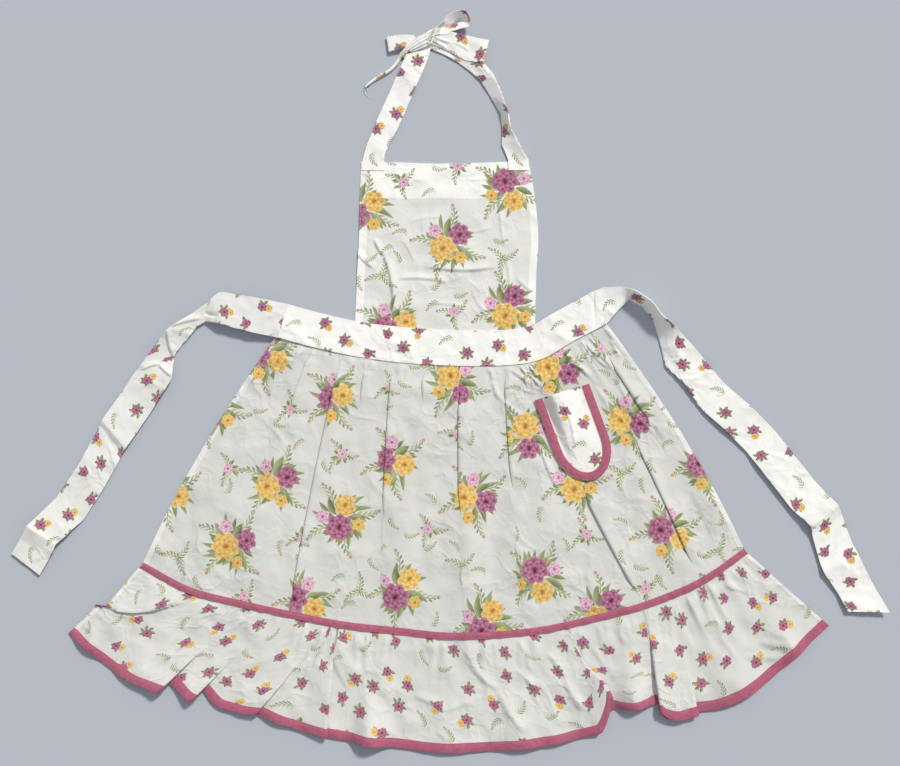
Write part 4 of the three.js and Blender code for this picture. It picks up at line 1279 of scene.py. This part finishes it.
def hem_line():
    """Points of the ruffle's hem at the fine ribs."""
    z = np.full(FINE.shape, HEM_HEIGHT)
    return np.stack([column(RIBS, "hem_x", FINE), column(RIBS, "hem_y", FINE), z], -1)


def waist_line():
    """Points of the skirt's top edge, hidden under the waistband, at the fine ribs."""
    place = FINE[None] / LAST_RIB * (len(BAND["x"]) - 1)
    points = strip_points(BAND, place, SKIRT_MARGIN / column(BAND, "width", place) - 0.5)[0]
    points[:, 2] = np.maximum(CLOTH / 2, lerp(CLOTH / 2, points[:, 2] - LAYER, MARGIN_FOLLOW))
    return points


WAIST = waist_line()
SEAM = seam_line()
HEM = hem_line()


def gathers(size, rib, down):
    """Crisp uneven gathers under a seam, each with its own place, width, length and slant."""
    rng = np.random.default_rng(size["seed"])
    below = down - size["start"]
    height = np.zeros(np.broadcast(rib, down).shape)
    for _ in range(size["count"]):
        middle = rng.uniform(0, LAST_RIB) + rng.normal(0, size["slant"]) * below
        reach = rng.uniform(0.2, 1.0) * size["reach"]
        wide = rng.uniform(0.5, 1.0) * size["width"] * (1 + below / reach)
        roof = np.clip(1 - np.abs(rib - middle) / wide, 0, 1) ** 1.3
        tall = rng.uniform(0.3, 1.0) * size["height"]
        height = np.maximum(height, tall * roof * np.clip(1 - below / reach, 0, 1) ** 1.2)
    return height * ease(below / size["rise"])


def pleated(surface, rows, down, step, hem, calm):
    """Columns of a grid that folds over along a table's pleats, less where the cloth is calm.

    Gives the rib of each point before and after folding, its lift, its setback and the side hems.
    """
    v = down[:, None]
    shape = np.ones_like(v)

    def spacing(rib):
        apart = surface(rib + RIB_STEP, v) - surface(rib - RIB_STEP, v)
        return np.linalg.norm(apart[..., :2], axis=-1) / (2 * RIB_STEP)

    pleats = []
    for e in rows_of(rows):
        line = lerp(e["top"], e["foot"], v)
        strength = ease((v - e["start"]) / e["grow"]) * ease((e["end"] - v) / PLEAT_FADE)
        pleats.append((e, line, spacing(line), strength * calm(surface(line, v))))
    sides = HEM_COLUMNS * hem
    first = sides / spacing(RIB_STEP * shape)
    last = LAST_RIB - sides[::-1] / spacing((LAST_RIB - RIB_STEP) * shape)
    even = np.linspace(-FOLD_HALF, FOLD_HALF, len(FOLD["tuck"]))[None]
    columns = [(first, first, 0 * first, 0 * first)]
    owner = [-1] * len(sides)
    before = first[:, -1:]
    for number, (e, line, scale, strength) in enumerate(pleats + [(None, last[:, :1], 1, 0)]):
        after = line - FOLD_HALF / scale if e else line
        wide = ((after - before) * spacing((after + before) / 2)).max()
        count = max(2, int(wide / step))
        between = lerp(before, after, np.arange(1, count)[None] / count)
        columns.append((between, between, 0 * between, 0 * between))
        owner += [-1] * (count - 1)
        if not e:
            break
        turn = slice(None, None, int(e["side"]))
        over = (e["side"] * (FOLD["tuck"] * e["tuck"] + FOLD["past"]))[None, turn]
        columns.append((
            line + even / scale,
            line + lerp(even, over, strength) / scale,
            strength * e["height"] * FOLD["height"][None, turn],
            strength * (e["tip"] * FOLD["tip"] + e["notch"] * FOLD["notch"])[None, turn],
        ))
        owner += [number] * len(FOLD["tuck"])
        before = line + FOLD_HALF / scale
    columns.append((last, last, 0 * last, 0 * last))
    flat, folded, lift, back = (np.concatenate(part, 1) for part in zip(*columns))
    owner = np.array(owner + [-1] * len(sides))
    for number, (e, line, scale, strength) in enumerate(pleats):
        away = e["side"] * (folded - line) * scale
        flap = np.clip(1 - (away - FOLD_HALF) / e["run"], 0, 1) ** 1.5 * (away > 0)
        tip = np.clip(1 - away / TIP_REACH, 0, 1) ** 1.5 * (away > 0)
        low = ease(1 + away / e["reach"]) * (away <= 0)
        other = strength * (owner != number)
        lift = lift + other * e["height"] * flap
        back = back + other * (e["tip"] * tip + e["notch"] * low)
    hems = np.zeros(flat.shape[1])
    inside = np.count_nonzero(HEM_COLUMNS < 1)
    hems[:inside] = HEM_LAYER
    hems[-inside:] = HEM_LAYER
    return flat, folded, lift, back, hems


def beside_pocket(points, margin):
    """Share of the skirt's waves that is left at a place: none under the pocket or in a margin round it."""
    angle = math.radians(POCKET["tilt"])
    dx = points[..., 0] - POCKET["x"]
    dy = points[..., 1] - POCKET["y"]
    depth = dx * math.sin(angle) - dy * math.cos(angle)
    offset = dx * math.cos(angle) + dy * math.sin(angle) - POCKET["sway"] * depth / POCKET["depth"]
    beside = np.abs(offset) - POCKET["half"] - margin
    beyond = np.abs(depth - POCKET["depth"] / 2) - POCKET["depth"] / 2 - margin
    return ease(np.maximum(beside, beyond) / POCKET["calm"])


def skirt_surface(rib, down):
    """Points of the smooth skirt on ribs and shares of the way down."""
    waist = at_rib(WAIST, rib)
    seam = at_rib(SEAM, rib)
    points = lerp(waist, seam, (down + 0 * rib)[..., None])
    points[..., 0] += column(RIBS, "bow", rib) * 4 * down * (1 - down)
    settle = ease((down - RIPPLE_DOWN) / SETTLE)
    rest = ease((down - SEAM_BEGINS) / (1 - SEAM_BEGINS))
    points[..., 2] = lerp(waist[..., 2], CLOTH / 2, settle) + (seam[..., 2] - CLOTH / 2) * rest
    return points


def skirt_points(down, step):
    """Points of the pleated skirt, the same before folding, and its side hems."""
    def still(line):
        return beside_pocket(line, PLEAT_MARGIN)

    flat, rib, lift, _, hems = pleated(skirt_surface, SKIRT_PLEATS, down, step, SKIRT_HEM, still)
    v = down[:, None]
    base = skirt_surface(flat, v)
    points = skirt_surface(rib, v)
    x = points[..., 0]
    y = points[..., 1]
    calm = beside_pocket(points, CREASE_MARGIN)
    ending = calm * ease((FREE_END - v) / END_FALL)
    free = ending * ease((v - RIPPLE_DOWN) / FREE_RISE)
    near = ending * ease((v - RIPPLE_DOWN) / NEAR_RISE)
    relief = waves(SKIRT_WAVES, x, y)
    for swell in rows_of(SKIRT_SWELLS):
        off = (rib - lerp(swell["top"], swell["foot"], v)) * lerp(*RIB_SPACING, v)
        along = ease((v - swell["start"]) / SWELL_FADE) * ease((swell["end"] - v) / SWELL_FADE)
        relief = relief + swell["height"] * along * bump(off / swell["span"])
    relief = np.maximum(0, relief) + lift
    pressed = np.maximum(0, creases(x, y, SKIRT_CREASES))
    gathered = gathers(WAIST_GATHERS, rib, v)
    points[..., 2] += free * relief + near * np.maximum(pressed, gathered)
    return points, base, hems


def ruffle_surface(rib, down):
    """Points of the smooth ruffle on ribs and shares of the way down from the seam to the hem."""
    return lerp(at_rib(SEAM, rib), at_rib(HEM, rib), (down + 0 * rib)[..., None])


def ruffle_points(down, step):
    """Points of the folded ruffle, its side hems, and the share of the way down of each point."""
    def lively(line):
        return 1

    _, rib, lift, back, hems = pleated(ruffle_surface, RUFFLE_PLEATS, down, step, RUFFLE_HEM, lively)
    line = np.interp(rib, TUCK["rib"], TUCK["down"])
    strong = ease((TUCK["rib"][-1] - rib) / TUCK_STEP["fade"])
    v = down[:, None]
    v = v + strong * (line - TUCK_ROW) * np.interp(v, (0, TUCK_ROW, TUCK_EVEN), (0, 1, 0))
    points = ruffle_surface(rib, v)
    inward = (at_rib(SEAM, rib) - at_rib(HEM, rib)) * [1, 1, 0]
    inward = inward / np.linalg.norm(inward, axis=-1, keepdims=True)
    spacing = np.interp(rib, FINE, np.gradient(run_length(HEM[None], 1)[0], FINE))
    z = lift + gathers(SEAM_GATHERS, rib, v)
    for swell in rows_of(RUFFLE_SWELLS):
        off = (rib - swell["rib"]) * spacing / swell["span"]
        z = z + swell["height"] * bump(off) * ease((v - swell["start"]) / (1 - swell["start"]))
    x = points[..., 0]
    y = points[..., 1]
    rumple = creases(x, y, RUFFLE_CREASES) + waves(RUFFLE_WAVES, x, y)
    z = z + np.maximum(0, rumple) * ease((v - RUMPLE_START) / RUMPLE_RISE)
    past = (v - line) * RUFFLE_LENGTH - TUCK_EDGE
    upper = np.where(past <= 0, ease((v - TUCK_STEP["start"]) / (line - TUCK_STEP["start"])), 0)
    rise = np.where(past <= 0, upper, ease(1 - past / TUCK_STEP["fall"]))
    z = z + TUCK_STEP["height"] * strong * rise
    points = points - inward * (TUCK_STEP["over"] * strong * rise)[..., None]
    edge = ease(1 - rib / TUCK_STEP["fade"])
    lower = np.where(past > 0, ease(1 - past / TUCK_STEP["calm"]), 0)
    points[..., 0] += edge * (TUCK_STEP["inset"] * upper - TUCK_STEP["outset"] * lower)
    points = points + inward * (back * ease(v))[..., None]
    points[..., 2] += z
    return points, hems, v


def binding_points(sizes):
    """Points of the binding that wraps the ruffle's hem, and of its inner edge."""
    share = 1 - sizes.binding_width * 1000 / RUFFLE_LENGTH
    edge = ruffle_points(np.linspace(share, 1, 6), RUFFLE_STEP)[0]
    normal = normals(edge)
    lift = (sizes.cloth_thickness + sizes.tape_thickness) * 500 + BINDING_GAP
    crown = (lift + TAPE_CROWN * bump(np.linspace(-1, 1, len(edge))))[:, None, None]
    outward = edge[-1] - edge[-2]
    outward = outward / np.linalg.norm(outward, axis=-1, keepdims=True)
    turn = [
        edge[-1] + lift * (math.cos(a) * normal[-1] + math.sin(a) * outward)
        for a in np.linspace(0, math.pi, 7)[1:-1]
    ]
    return np.concatenate([edge + crown * normal, np.stack(turn), (edge - lift * normal)[::-1]])


def trim_points(sizes):
    """Points of the tape along the seam, a little crowned and puckered."""
    half = sizes.trim_width * 500
    ribs = np.linspace(0, LAST_RIB, 521)[None]
    above = skirt_surface(ribs, np.linspace(1 - half / SKIRT_LENGTH, 1, 4)[:, None])
    below = ruffle_surface(ribs, np.linspace(0, half / RUFFLE_LENGTH, 4)[:, None])
    band = np.concatenate([above, below[1:]])
    crown = TRIM_RISE + TAPE_CROWN * bump(np.linspace(-1, 1, len(band)))[:, None]
    pucker = waves(TRIM_WAVES, band[..., 0], band[..., 1])
    return band + (crown + np.maximum(0, pucker))[..., None] * normals(band)


def pocket_half(depth):
    """Half width of the pocket at a depth under its mouth."""
    past = np.maximum(0, depth - (POCKET["depth"] - POCKET["round"])) / POCKET["round"]
    return np.maximum(POCKET["foot"], POCKET["half"] * np.sqrt(np.maximum(0, 1 - past ** 2)))


def pocket_points(offset, depth):
    """Points of the pocket at offsets from its middle line and depths under its mouth."""
    angle = math.radians(POCKET["tilt"])
    out = offset + POCKET["sway"] * depth / POCKET["depth"]
    x = POCKET["x"] + out * math.cos(angle) + depth * math.sin(angle)
    y = POCKET["y"] + out * math.sin(angle) - depth * math.cos(angle)
    across = np.maximum(0, 1 - (offset / POCKET["half"]) ** 2)
    down = np.maximum(0, 1 - depth / (POCKET["depth"] * 0.9))
    rise = ease((offset + POCKET["half"] - POCKET["rim"]) / POCKET["rise"])
    hump = rise * ease((POCKET["half"] - offset) / POCKET["fall"]) * down
    relief = POCKET["gape"] * hump + np.minimum(1, 2 * across) * creases(x, y, POCKET_CREASES)
    return np.stack([x, y, LAYER + CLOTH / 2 + np.maximum(0, relief)], -1)


def pocket_band(sizes):
    """Points of the tape round the pocket's sides and foot."""
    upright = POCKET["depth"] - POCKET["round"]
    arc = np.linspace(math.pi, 0, 61)[None, :]
    inset = np.linspace(sizes.binding_width * 1000 - 1, -1, 7)[:, None]
    side = np.linspace(0, upright, 30, endpoint=False)[None, :] + 0 * inset
    half = POCKET["half"] - inset
    offset = np.concatenate([0 * side - half, np.cos(arc) * half, 0 * side + half], 1)
    foot = upright + np.sin(arc) * (POCKET["round"] - inset)
    band = pocket_points(offset, np.concatenate([side, foot, side[:, ::-1]], 1))
    crown = POCKET_TAPE_RISE + TAPE_CROWN * bump(np.linspace(-1, 1, len(band)))
    return band + crown[:, None, None] * normals(band)


def tape_piece(name, points, sizes, node):
    """Makes one length of rose tape from rows of points along it."""
    flat = np.stack(np.broadcast_arrays(run_length(points, 1)[3][None, :], -run_length(points, 0)), -1)
    tape = cloth(name, points, sizes.tape_thickness, flat, rose_tape())
    finish_piece(tape, node)
    return tape


# Half the floor's side and the camera's distance in metres, the camera's angle above the floor in degrees,
# and the direction in which the light shines
FLOOR_REACH = 30.0
CAMERA_AWAY = 1.4
CAMERA_ELEVATION = 85
LIGHT_WAY = (-0.55, -0.85, -0.9)


class APRON_OT_stage(bpy.types.Operator):
    """Sets up the floor, the soft studio light and the camera"""

    bl_idname = "apron.stage"
    bl_label = "Stage"

    def execute(self, context):
        mesh = bpy.data.meshes.new("studio_floor")
        corners = [(x * FLOOR_REACH, y * FLOOR_REACH, 0) for x, y in ((-1, -1), (1, -1), (1, 1), (-1, 1))]
        mesh.from_pydata(corners, [], [(0, 1, 2, 3)])
        floor = linked("studio_floor", mesh)
        paper = {"Base Color": linear(context.scene.apron_colours.floor), "Roughness": 0.9}
        mesh.materials.append(new_material("Studio paper", paper)[0])

        world = bpy.data.worlds.new("Studio")
        world.use_nodes = True
        world.node_tree.nodes["Background"].inputs["Color"].default_value = linear("EEF2F8")
        world.node_tree.nodes["Background"].inputs["Strength"].default_value = 0.46
        context.scene.world = world
        context.scene.view_settings.view_transform = "Standard"

        light = bpy.data.lights.new("key_light", "SUN")
        light.energy = 2.9
        light.angle = math.radians(9)
        light.color = linear("FFFBF4")[:3]
        lamp = linked("key_light", light)
        lamp.rotation_euler = Vector(LIGHT_WAY).to_track_quat("-Z", "Y").to_euler()

        camera = bpy.data.cameras.new("photo_camera")
        camera.sensor_width = 36
        camera.lens = 40
        camera.clip_end = 20
        eye = linked("photo_camera", camera)
        elevation = math.radians(CAMERA_ELEVATION)
        target = Vector((SHIFT[0] / 1000, SHIFT[1] / 1000, 0))
        eye.location = target + CAMERA_AWAY * Vector((0, -math.cos(elevation), math.sin(elevation)))
        eye.rotation_euler = (math.pi / 2 - elevation, 0, 0)
        context.scene.camera = eye
        return {"FINISHED"}


class APRON_OT_bib(bpy.types.Operator):
    """Makes the bib with its side hems and the deep facing at its top"""

    bl_idname = "apron.bib"
    bl_label = "Bib"

    def execute(self, context):
        sizes = context.scene.apron_sizes
        last = len(BIB["y"]) - 1
        step = np.array([-HEM_STEP, HEM_STEP])
        hem = (SIDE_HEM + step) / BIB_WIDTH
        across = np.sort(np.concatenate([np.linspace(0, 1, 161), hem, 1 - hem]))
        facing = (BIB_FACING + step) / (BIB["y"][0] - BIB["y"][1])
        level = np.sort(np.concatenate([np.linspace(0, last, 171), facing]))
        points = bib_points(across, level)
        sides = (np.minimum(across, 1 - across) * BIB_WIDTH < SIDE_HEM)[None, :]
        doubled = np.where(np.maximum(sides, (level < facing.mean())[:, None]), 1.0, BIB_FULLNESS)
        thick = sizes.cloth_thickness
        piece = cloth("bib_cloth", points, thick, points[..., :2], printed_cotton(), doubled)
        finish_piece(piece, "bib")
        return {"FINISHED"}


class APRON_OT_skirt(bpy.types.Operator):
    """Makes the gathered skirt with its pleats and side hems"""

    bl_idname = "apron.skirt"
    bl_label = "Skirt"

    def execute(self, context):
        sizes = context.scene.apron_sizes
        down = np.concatenate([np.linspace(0, FINE_TOP, 50, endpoint=False), np.linspace(FINE_TOP, 1, 59)])
        points, base, hems = skirt_points(down, SKIRT_STEP)
        extra = (run_length(points, 1) - run_length(base, 1)).mean(0)
        print_map = np.stack([base[..., 0] + extra, base[..., 1]], -1)
        piece = cloth("skirt_cloth", points, sizes.cloth_thickness, print_map, printed_cotton(), hems[None])
        finish_piece(piece, "skirt")
        return {"FINISHED"}


class APRON_OT_ruffle(bpy.types.Operator):
    """Makes the ruffle, the binding round its hem and the tape along its seam"""

    bl_idname = "apron.ruffle"
    bl_label = "Ruffle and tapes"

    def execute(self, context):
        sizes = context.scene.apron_sizes
        down = np.linspace(0, 1, 57)
        points, hems, share = ruffle_points(down, RUFFLE_STEP)
        along = run_length(points, 1)[PRINT_ROW]
        print_map = np.stack(np.broadcast_arrays(along[None, :], -share * RUFFLE_LENGTH), -1)
        thick = sizes.cloth_thickness
        piece = cloth("ruffle_cloth", points, thick, print_map, small_print_cotton(), hems[None])
        finish_piece(piece, "ruffle")

        binding = tape_piece("ruffle_binding_tape", binding_points(sizes), sizes, "ruffle_binding")

        trim = tape_piece("seam_trim_tape", trim_points(sizes), sizes, "seam_trim")
        return {"FINISHED"}


def strip_piece(name, node, grid, thickness, layer=1.0):
    """Makes one strip as doubled cloth."""
    points, print_map = grid
    doubled = np.full((1, 1), layer)
    piece = cloth(name, points, thickness / (1 + layer), print_map, small_print_cotton(), doubled)
    finish_piece(piece, node)


class APRON_OT_strips(bpy.types.Operator):
    """Makes the waistband, the two ties and the neck straps"""

    bl_idname = "apron.strips"
    bl_label = "Band, ties and straps"

    def execute(self, context):
        thick = context.scene.apron_sizes.strap_thickness
        for name, node, rows, cells, width, seed, layer, flat in STRIPS:
            grid = strip_grid(rows, cells, width, width, seed)
            strip_piece(name, node, grid, thick, layer)
        return {"FINISHED"}


class APRON_OT_bow(bpy.types.Operator):
    """Makes the bow: knot, loops and tails"""

    bl_idname = "apron.bow"
    bl_label = "Bow"

    def execute(self, context):
        thick = context.scene.apron_sizes.cloth_thickness
        eye = strip_grid(LOOP_EYE, (157, 17), 0, 24, 36)
        thin = strip_grid(TAIL_THIN, (121, 25), 0, 15, 37)
        wide = strip_grid(TAIL_FLAT, (101, 25), STRAP_WIDTH, STRAP_WIDTH, 38)
        wrap = strip_grid(KNOT_WRAP, (81, 41), 0, 20, 39)
        share = np.linspace(-1, 1, len(wrap[0]))[:, None, None]
        ridges = KNOT_RIDGES["height"] * np.cos(share * np.pi * KNOT_RIDGES["count"])
        ridges = ridges + KNOT_RIDGES["crown"] * (1 - share ** 2)
        wrap = (wrap[0] + ridges * normals(wrap[0]), wrap[1])
        strip_piece("bow_loop_right_cloth", "bow_loop_right", eye, thick)
        strip_piece("bow_tail_left_cloth", "bow_tail_left", thin, thick)
        strip_piece("bow_tail_right_cloth", "bow_tail_right", wide, thick)
        strip_piece("bow_knot_cloth", "bow_knot", wrap, thick)
        self.core()
        self.threads(thin[0][:, -1].mean(0))
        heading = math.radians(LOOP_FLAT["heading"])
        turn = np.linspace(0, 1, 81)[None, :]
        across = np.linspace(-0.5, 0.5, 15)[:, None]
        reach = LOOP_FLAT["reach"] * np.sin(np.pi * turn)
        rise = LOOP_FLAT["rise"] * (turn - np.sin(2 * np.pi * turn) / (2 * np.pi))
        width = lerp(LOOP_FLAT["knot_width"], LOOP_FLAT["end_width"], reach / LOOP_FLAT["reach"])
        points = np.stack(np.broadcast_arrays(
            LOOP_FLAT["x"] + reach * math.cos(heading) - across * width * math.sin(heading),
            LOOP_FLAT["y"] + reach * math.sin(heading) + across * width * math.cos(heading),
            LOOP_FLAT["lift"] + rise + CLOTH / 2,
        ), -1)
        middle = run_length(points, 1)[len(points) // 2]
        flat = np.stack(np.broadcast_arrays(middle[None, :], across * LOOP_FLAT["map_width"]), -1)
        strip_piece("bow_loop_left_cloth", "bow_loop_left", (points, flat), thick)
        return {"FINISHED"}

    def core(self):
        """The knot's lumpy inside, between its wrap and the strap ends."""
        around = 32
        rings = 15
        angles = np.linspace(0, 2 * np.pi, around + 1)[:-1]
        turn, rise = np.meshgrid(angles, np.linspace(0, np.pi, rings + 2)[1:-1])
        lump = 1 + 0.07 * np.cos(3 * turn + 2 * rise) + 0.05 * np.cos(5 * turn - 3 * rise)
        points = np.stack([
            CORE["x"] + CORE["long"] * lump * np.sin(rise) * np.cos(turn),
            CORE["y"] + CORE["wide"] * lump * np.sin(rise) * np.sin(turn),
            CORE["z"] + CORE["high"] * lump * np.cos(rise),
        ], -1).reshape(-1, 3)
        poles = [[CORE["x"], CORE["y"], CORE["z"] + side * CORE["high"]] for side in (1, -1)]
        verts = (np.concatenate([points, poles]) + SHIFT) / 1000
        sides = [(a, (a + 1) % around) for a in range(around)]
        lows = range(0, (rings - 1) * around, around)
        faces = [(low + a, low + around + a, low + around + b, low + b) for low in lows for a, b in sides]
        top = len(points)
        foot = top - around
        faces += [(top, a, b) for a, b in sides]
        faces += [(top + 1, foot + b, foot + a) for a, b in sides]
        added_piece("bow_knot_core", verts, faces, small_print_cotton())

    def threads(self, tip):
        """Loose threads where the thin tail's end has frayed."""
        steps = 11
        around = 5
        angles = 2 * np.pi * np.arange(around) / around
        ring = np.stack([np.cos(angles), np.cos(angles), np.sin(angles)], -1) * THREAD
        verts = []
        faces = []
        for end in rows_of(THREADS):
            t = np.linspace(0, 1, steps + 1)[:, None]
            path = tip + t * [end["x"], end["y"], 0] + 4 * t * (1 - t) * [end["bend"], 0, 0.6]
            path[:, 2] = np.maximum(THREAD, path[:, 2] * (1 - t[:, 0]))
            start = sum(len(v) for v in verts)
            verts.append((path[:, None] + ring[None]).reshape(-1, 3))
            for low in range(start, start + around * steps, around):
                for a in range(around):
                    b = (a + 1) % around
                    faces.append((low + a, low + b, low + around + b, low + around + a))
            faces.append(tuple(start + a for a in reversed(range(around))))
            faces.append(tuple(start + around * steps + a for a in range(around)))
        verts = (np.concatenate(verts) + SHIFT) / 1000
        added_piece("bow_tail_threads", verts, faces, sewing_thread())


class APRON_OT_pocket(bpy.types.Operator):
    """Makes the pocket and its binding"""

    bl_idname = "apron.pocket"
    bl_label = "Pocket"

    def execute(self, context):
        sizes = context.scene.apron_sizes
        across = np.linspace(-1, 1, 61)[None, :]
        depth = np.linspace(0, POCKET["depth"], 81)[:, None]
        offset = across * pocket_half(depth)
        points = pocket_points(offset, np.broadcast_to(depth, offset.shape))
        hem = np.where(depth < POCKET_HEM, 1.0, POCKET_FULLNESS)
        thick = sizes.cloth_thickness
        piece = cloth("pocket_cloth", points, thick, points[..., :2], small_print_cotton(), hem)
        finish_piece(piece, "pocket")

        tape = tape_piece("pocket_binding_tape", pocket_band(sizes), sizes, "pocket_binding")
        return {"FINISHED"}


# How far stitch rows stay from a hem's and the facing's edge, and a stitch's share of its pitch
STITCH_INSET = 1.5
FACING_INSET = 2
STITCH_SHARE = 0.8


def stitch_tree():
    """Geometry nodes that lay a stitch at every pitch along a line."""
    tree = bpy.data.node_groups.new("Stitches", "GeometryNodeTree")
    for label, kind in (
        ("Line", "NodeSocketGeometry"), ("Pitch", "NodeSocketFloat"), ("Length", "NodeSocketFloat"),
        ("Thread", "NodeSocketFloat"), ("Material", "NodeSocketMaterial"),
    ):
        tree.interface.new_socket(label, in_out="INPUT", socket_type=kind)
    tree.interface.new_socket("Stitches", in_out="OUTPUT", socket_type="NodeSocketGeometry")
    given = tree.nodes.new("NodeGroupInput").outputs
    curve = add(tree, "GeometryNodeMeshToCurve", {"Mesh": given["Line"]})
    spaced = add(tree, "GeometryNodeResampleCurve", {"Curve": curve, "Length": given["Pitch"]}, mode="LENGTH")
    along = add(tree, "GeometryNodeInputTangent")
    turn = add(tree, "FunctionNodeAlignRotationToVector", {"Vector": along}, axis="X")
    size = add(tree, "ShaderNodeCombineXYZ", (given["Length"], given["Thread"], given["Thread"]))
    bead = add(tree, "GeometryNodeMeshUVSphere", {"Segments": 6, "Rings": 4, "Radius": 0.5})
    placed = {"Points": spaced, "Instance": bead, "Rotation": turn, "Scale": size}
    beads = add(tree, "GeometryNodeInstanceOnPoints", placed)
    solid = add(tree, "GeometryNodeRealizeInstances", {"Geometry": beads})
    sewn = add(tree, "GeometryNodeSetMaterial", {"Geometry": solid, "Material": given["Material"]})
    add(tree, "NodeGroupOutput", (sewn,))
    return tree


def on_top(grid, height):
    """The middle row of three neighbouring rows of points, raised along their normals."""
    return grid[1] + height * normals(grid)[1]


class APRON_OT_stitches(bpy.types.Operator):
    """Sews the stitch rows along hems, band, ties, straps and tapes"""

    bl_idname = "apron.stitches"
    bl_label = "Stitches"

    def execute(self, context):
        sizes = context.scene.apron_sizes
        tree = stitch_tree()
        white = self.white_lines(sizes)
        rose = self.rose_lines(sizes)
        self.sew(context, "white_stitches", tree, white, sewing_thread(), "small_print_cotton")
        self.sew(context, "rose_stitches", tree, rose, rose_thread(), "rose_tape")
        return {"FINISHED"}

    def white_lines(self, sizes):
        """Stitch rows in white thread, as lines of points."""
        lines = []
        thick = sizes.strap_thickness * 500
        for _, _, rows, cells, width, seed, _, _ in STRIPS:
            points = strip_grid(rows, cells, width, width, seed)[0]
            lines += [on_top(points[:3], thick), on_top(points[-3:], thick)]
        hemmed = sizes.cloth_thickness * 1000
        level = np.linspace(0.02, len(BIB["y"]) - 1.1, 160)
        inset = (SIDE_HEM - STITCH_INSET) / BIB_WIDTH
        for middle in (inset, 1 - inset):
            grid = bib_points(middle + np.array([-0.005, 0, 0.005]), level)
            lines.append(on_top(grid.transpose(1, 0, 2), -hemmed))
        facing = (BIB_FACING - FACING_INSET) / (BIB["y"][0] - BIB["y"][1])
        grid = bib_points(np.linspace(0.01, 0.99, 160), facing + np.array([-0.02, 0, 0.02]))
        lines.append(on_top(grid, hemmed))
        skirt = skirt_points(np.linspace(0.06, 0.985, 121), 20)[0].transpose(1, 0, 2)
        sewn = hemmed * (1 + HEM_LAYER) / 2
        lines += [on_top(skirt[2:5], -sewn), on_top(skirt[-5:-2], -sewn)]
        across = np.linspace(-1, 1, 60)[None, :] * (POCKET["half"] - sizes.binding_width * 1000)
        depth = POCKET_HEM - STITCH_INSET + np.array([-2.0, 0.0, 2.0])[:, None]
        lines.append(on_top(pocket_points(across + 0 * depth, depth + 0 * across), hemmed))
        return lines

    def rose_lines(self, sizes):
        """Stitch rows in rose thread, as lines of points."""
        half = sizes.tape_thickness * 500
        trim = trim_points(sizes)
        pocket = pocket_band(sizes)
        binding = binding_points(sizes)
        return [on_top(rows, half) for rows in (trim[:3], trim[-3:], pocket[:3], pocket[-3:], binding[:3])]

    def sew(self, context, name, tree, lines, material, slot):
        """Turns lines of points into rows of stitches."""
        verts = (np.concatenate(lines) + SHIFT) / 1000
        starts = np.cumsum([0] + [len(line) for line in lines[:-1]])
        edges = [
            (int(start + k), int(start + k + 1))
            for start, line in zip(starts, lines) for k in range(len(line) - 1)
        ]
        guide = bpy.data.meshes.new(name + "_guide")
        guide.from_pydata(verts.tolist(), edges, [])
        holder = linked(name + "_guide", guide)
        modifier = holder.modifiers.new("Stitches", "NODES")
        modifier.node_group = tree
        sizes = context.scene.apron_sizes
        values = {
            "Pitch": sizes.stitch_pitch, "Length": sizes.stitch_pitch * STITCH_SHARE,
            "Thread": sizes.stitch_thread, "Material": material,
        }
        for item in tree.interface.items_tree:
            if item.in_out == "INPUT" and item.name in values:
                modifier[item.identifier] = values[item.name]
        graph = context.evaluated_depsgraph_get()
        mesh = bpy.data.meshes.new_from_object(holder.evaluated_get(graph))
        mesh.name = name
        mesh.polygons.foreach_set("use_smooth", [True] * len(mesh.polygons))
        bpy.data.objects.remove(holder)
        bpy.data.meshes.remove(guide)
        piece = linked(name, mesh)
        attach(piece, "root")


class APRON_PT_panel(bpy.types.Panel):
    """Lists the apron's settings and operators"""

    bl_label = "Apron"
    bl_idname = "APRON_PT_panel"
    bl_space_type = "VIEW_3D"
    bl_region_type = "UI"
    bl_category = "Apron"

    def draw(self, context):
        for group in (context.scene.apron_sizes, context.scene.apron_colours):
            for name in group.__annotations__:
                self.layout.prop(group, name)
        for operator in OPERATORS:
            self.layout.operator(operator.bl_idname)


OPERATORS = (
    APRON_OT_stage, APRON_OT_bib, APRON_OT_skirt, APRON_OT_ruffle, APRON_OT_strips,
    APRON_OT_bow, APRON_OT_pocket, APRON_OT_stitches,
)
CLASSES = (ApronSizes, ApronColours, *OPERATORS, APRON_PT_panel)


def register():
    """Registers the classes and the scene's settings."""
    for kind in CLASSES:
        bpy.utils.register_class(kind)
    bpy.types.Scene.apron_sizes = bpy.props.PointerProperty(type=ApronSizes)
    bpy.types.Scene.apron_colours = bpy.props.PointerProperty(type=ApronColours)


def unregister():
    """Takes the classes and settings away again."""
    del bpy.types.Scene.apron_colours
    del bpy.types.Scene.apron_sizes
    for kind in reversed(CLASSES):
        bpy.utils.unregister_class(kind)


def main():
    """Builds the apron piece by piece."""
    register()
    for operator in OPERATORS:
        group, name = operator.bl_idname.split(".")
        getattr(getattr(bpy.ops, group), name)()
    bpy.context.view_layer.update()


if __name__ == "__main__":
    main()
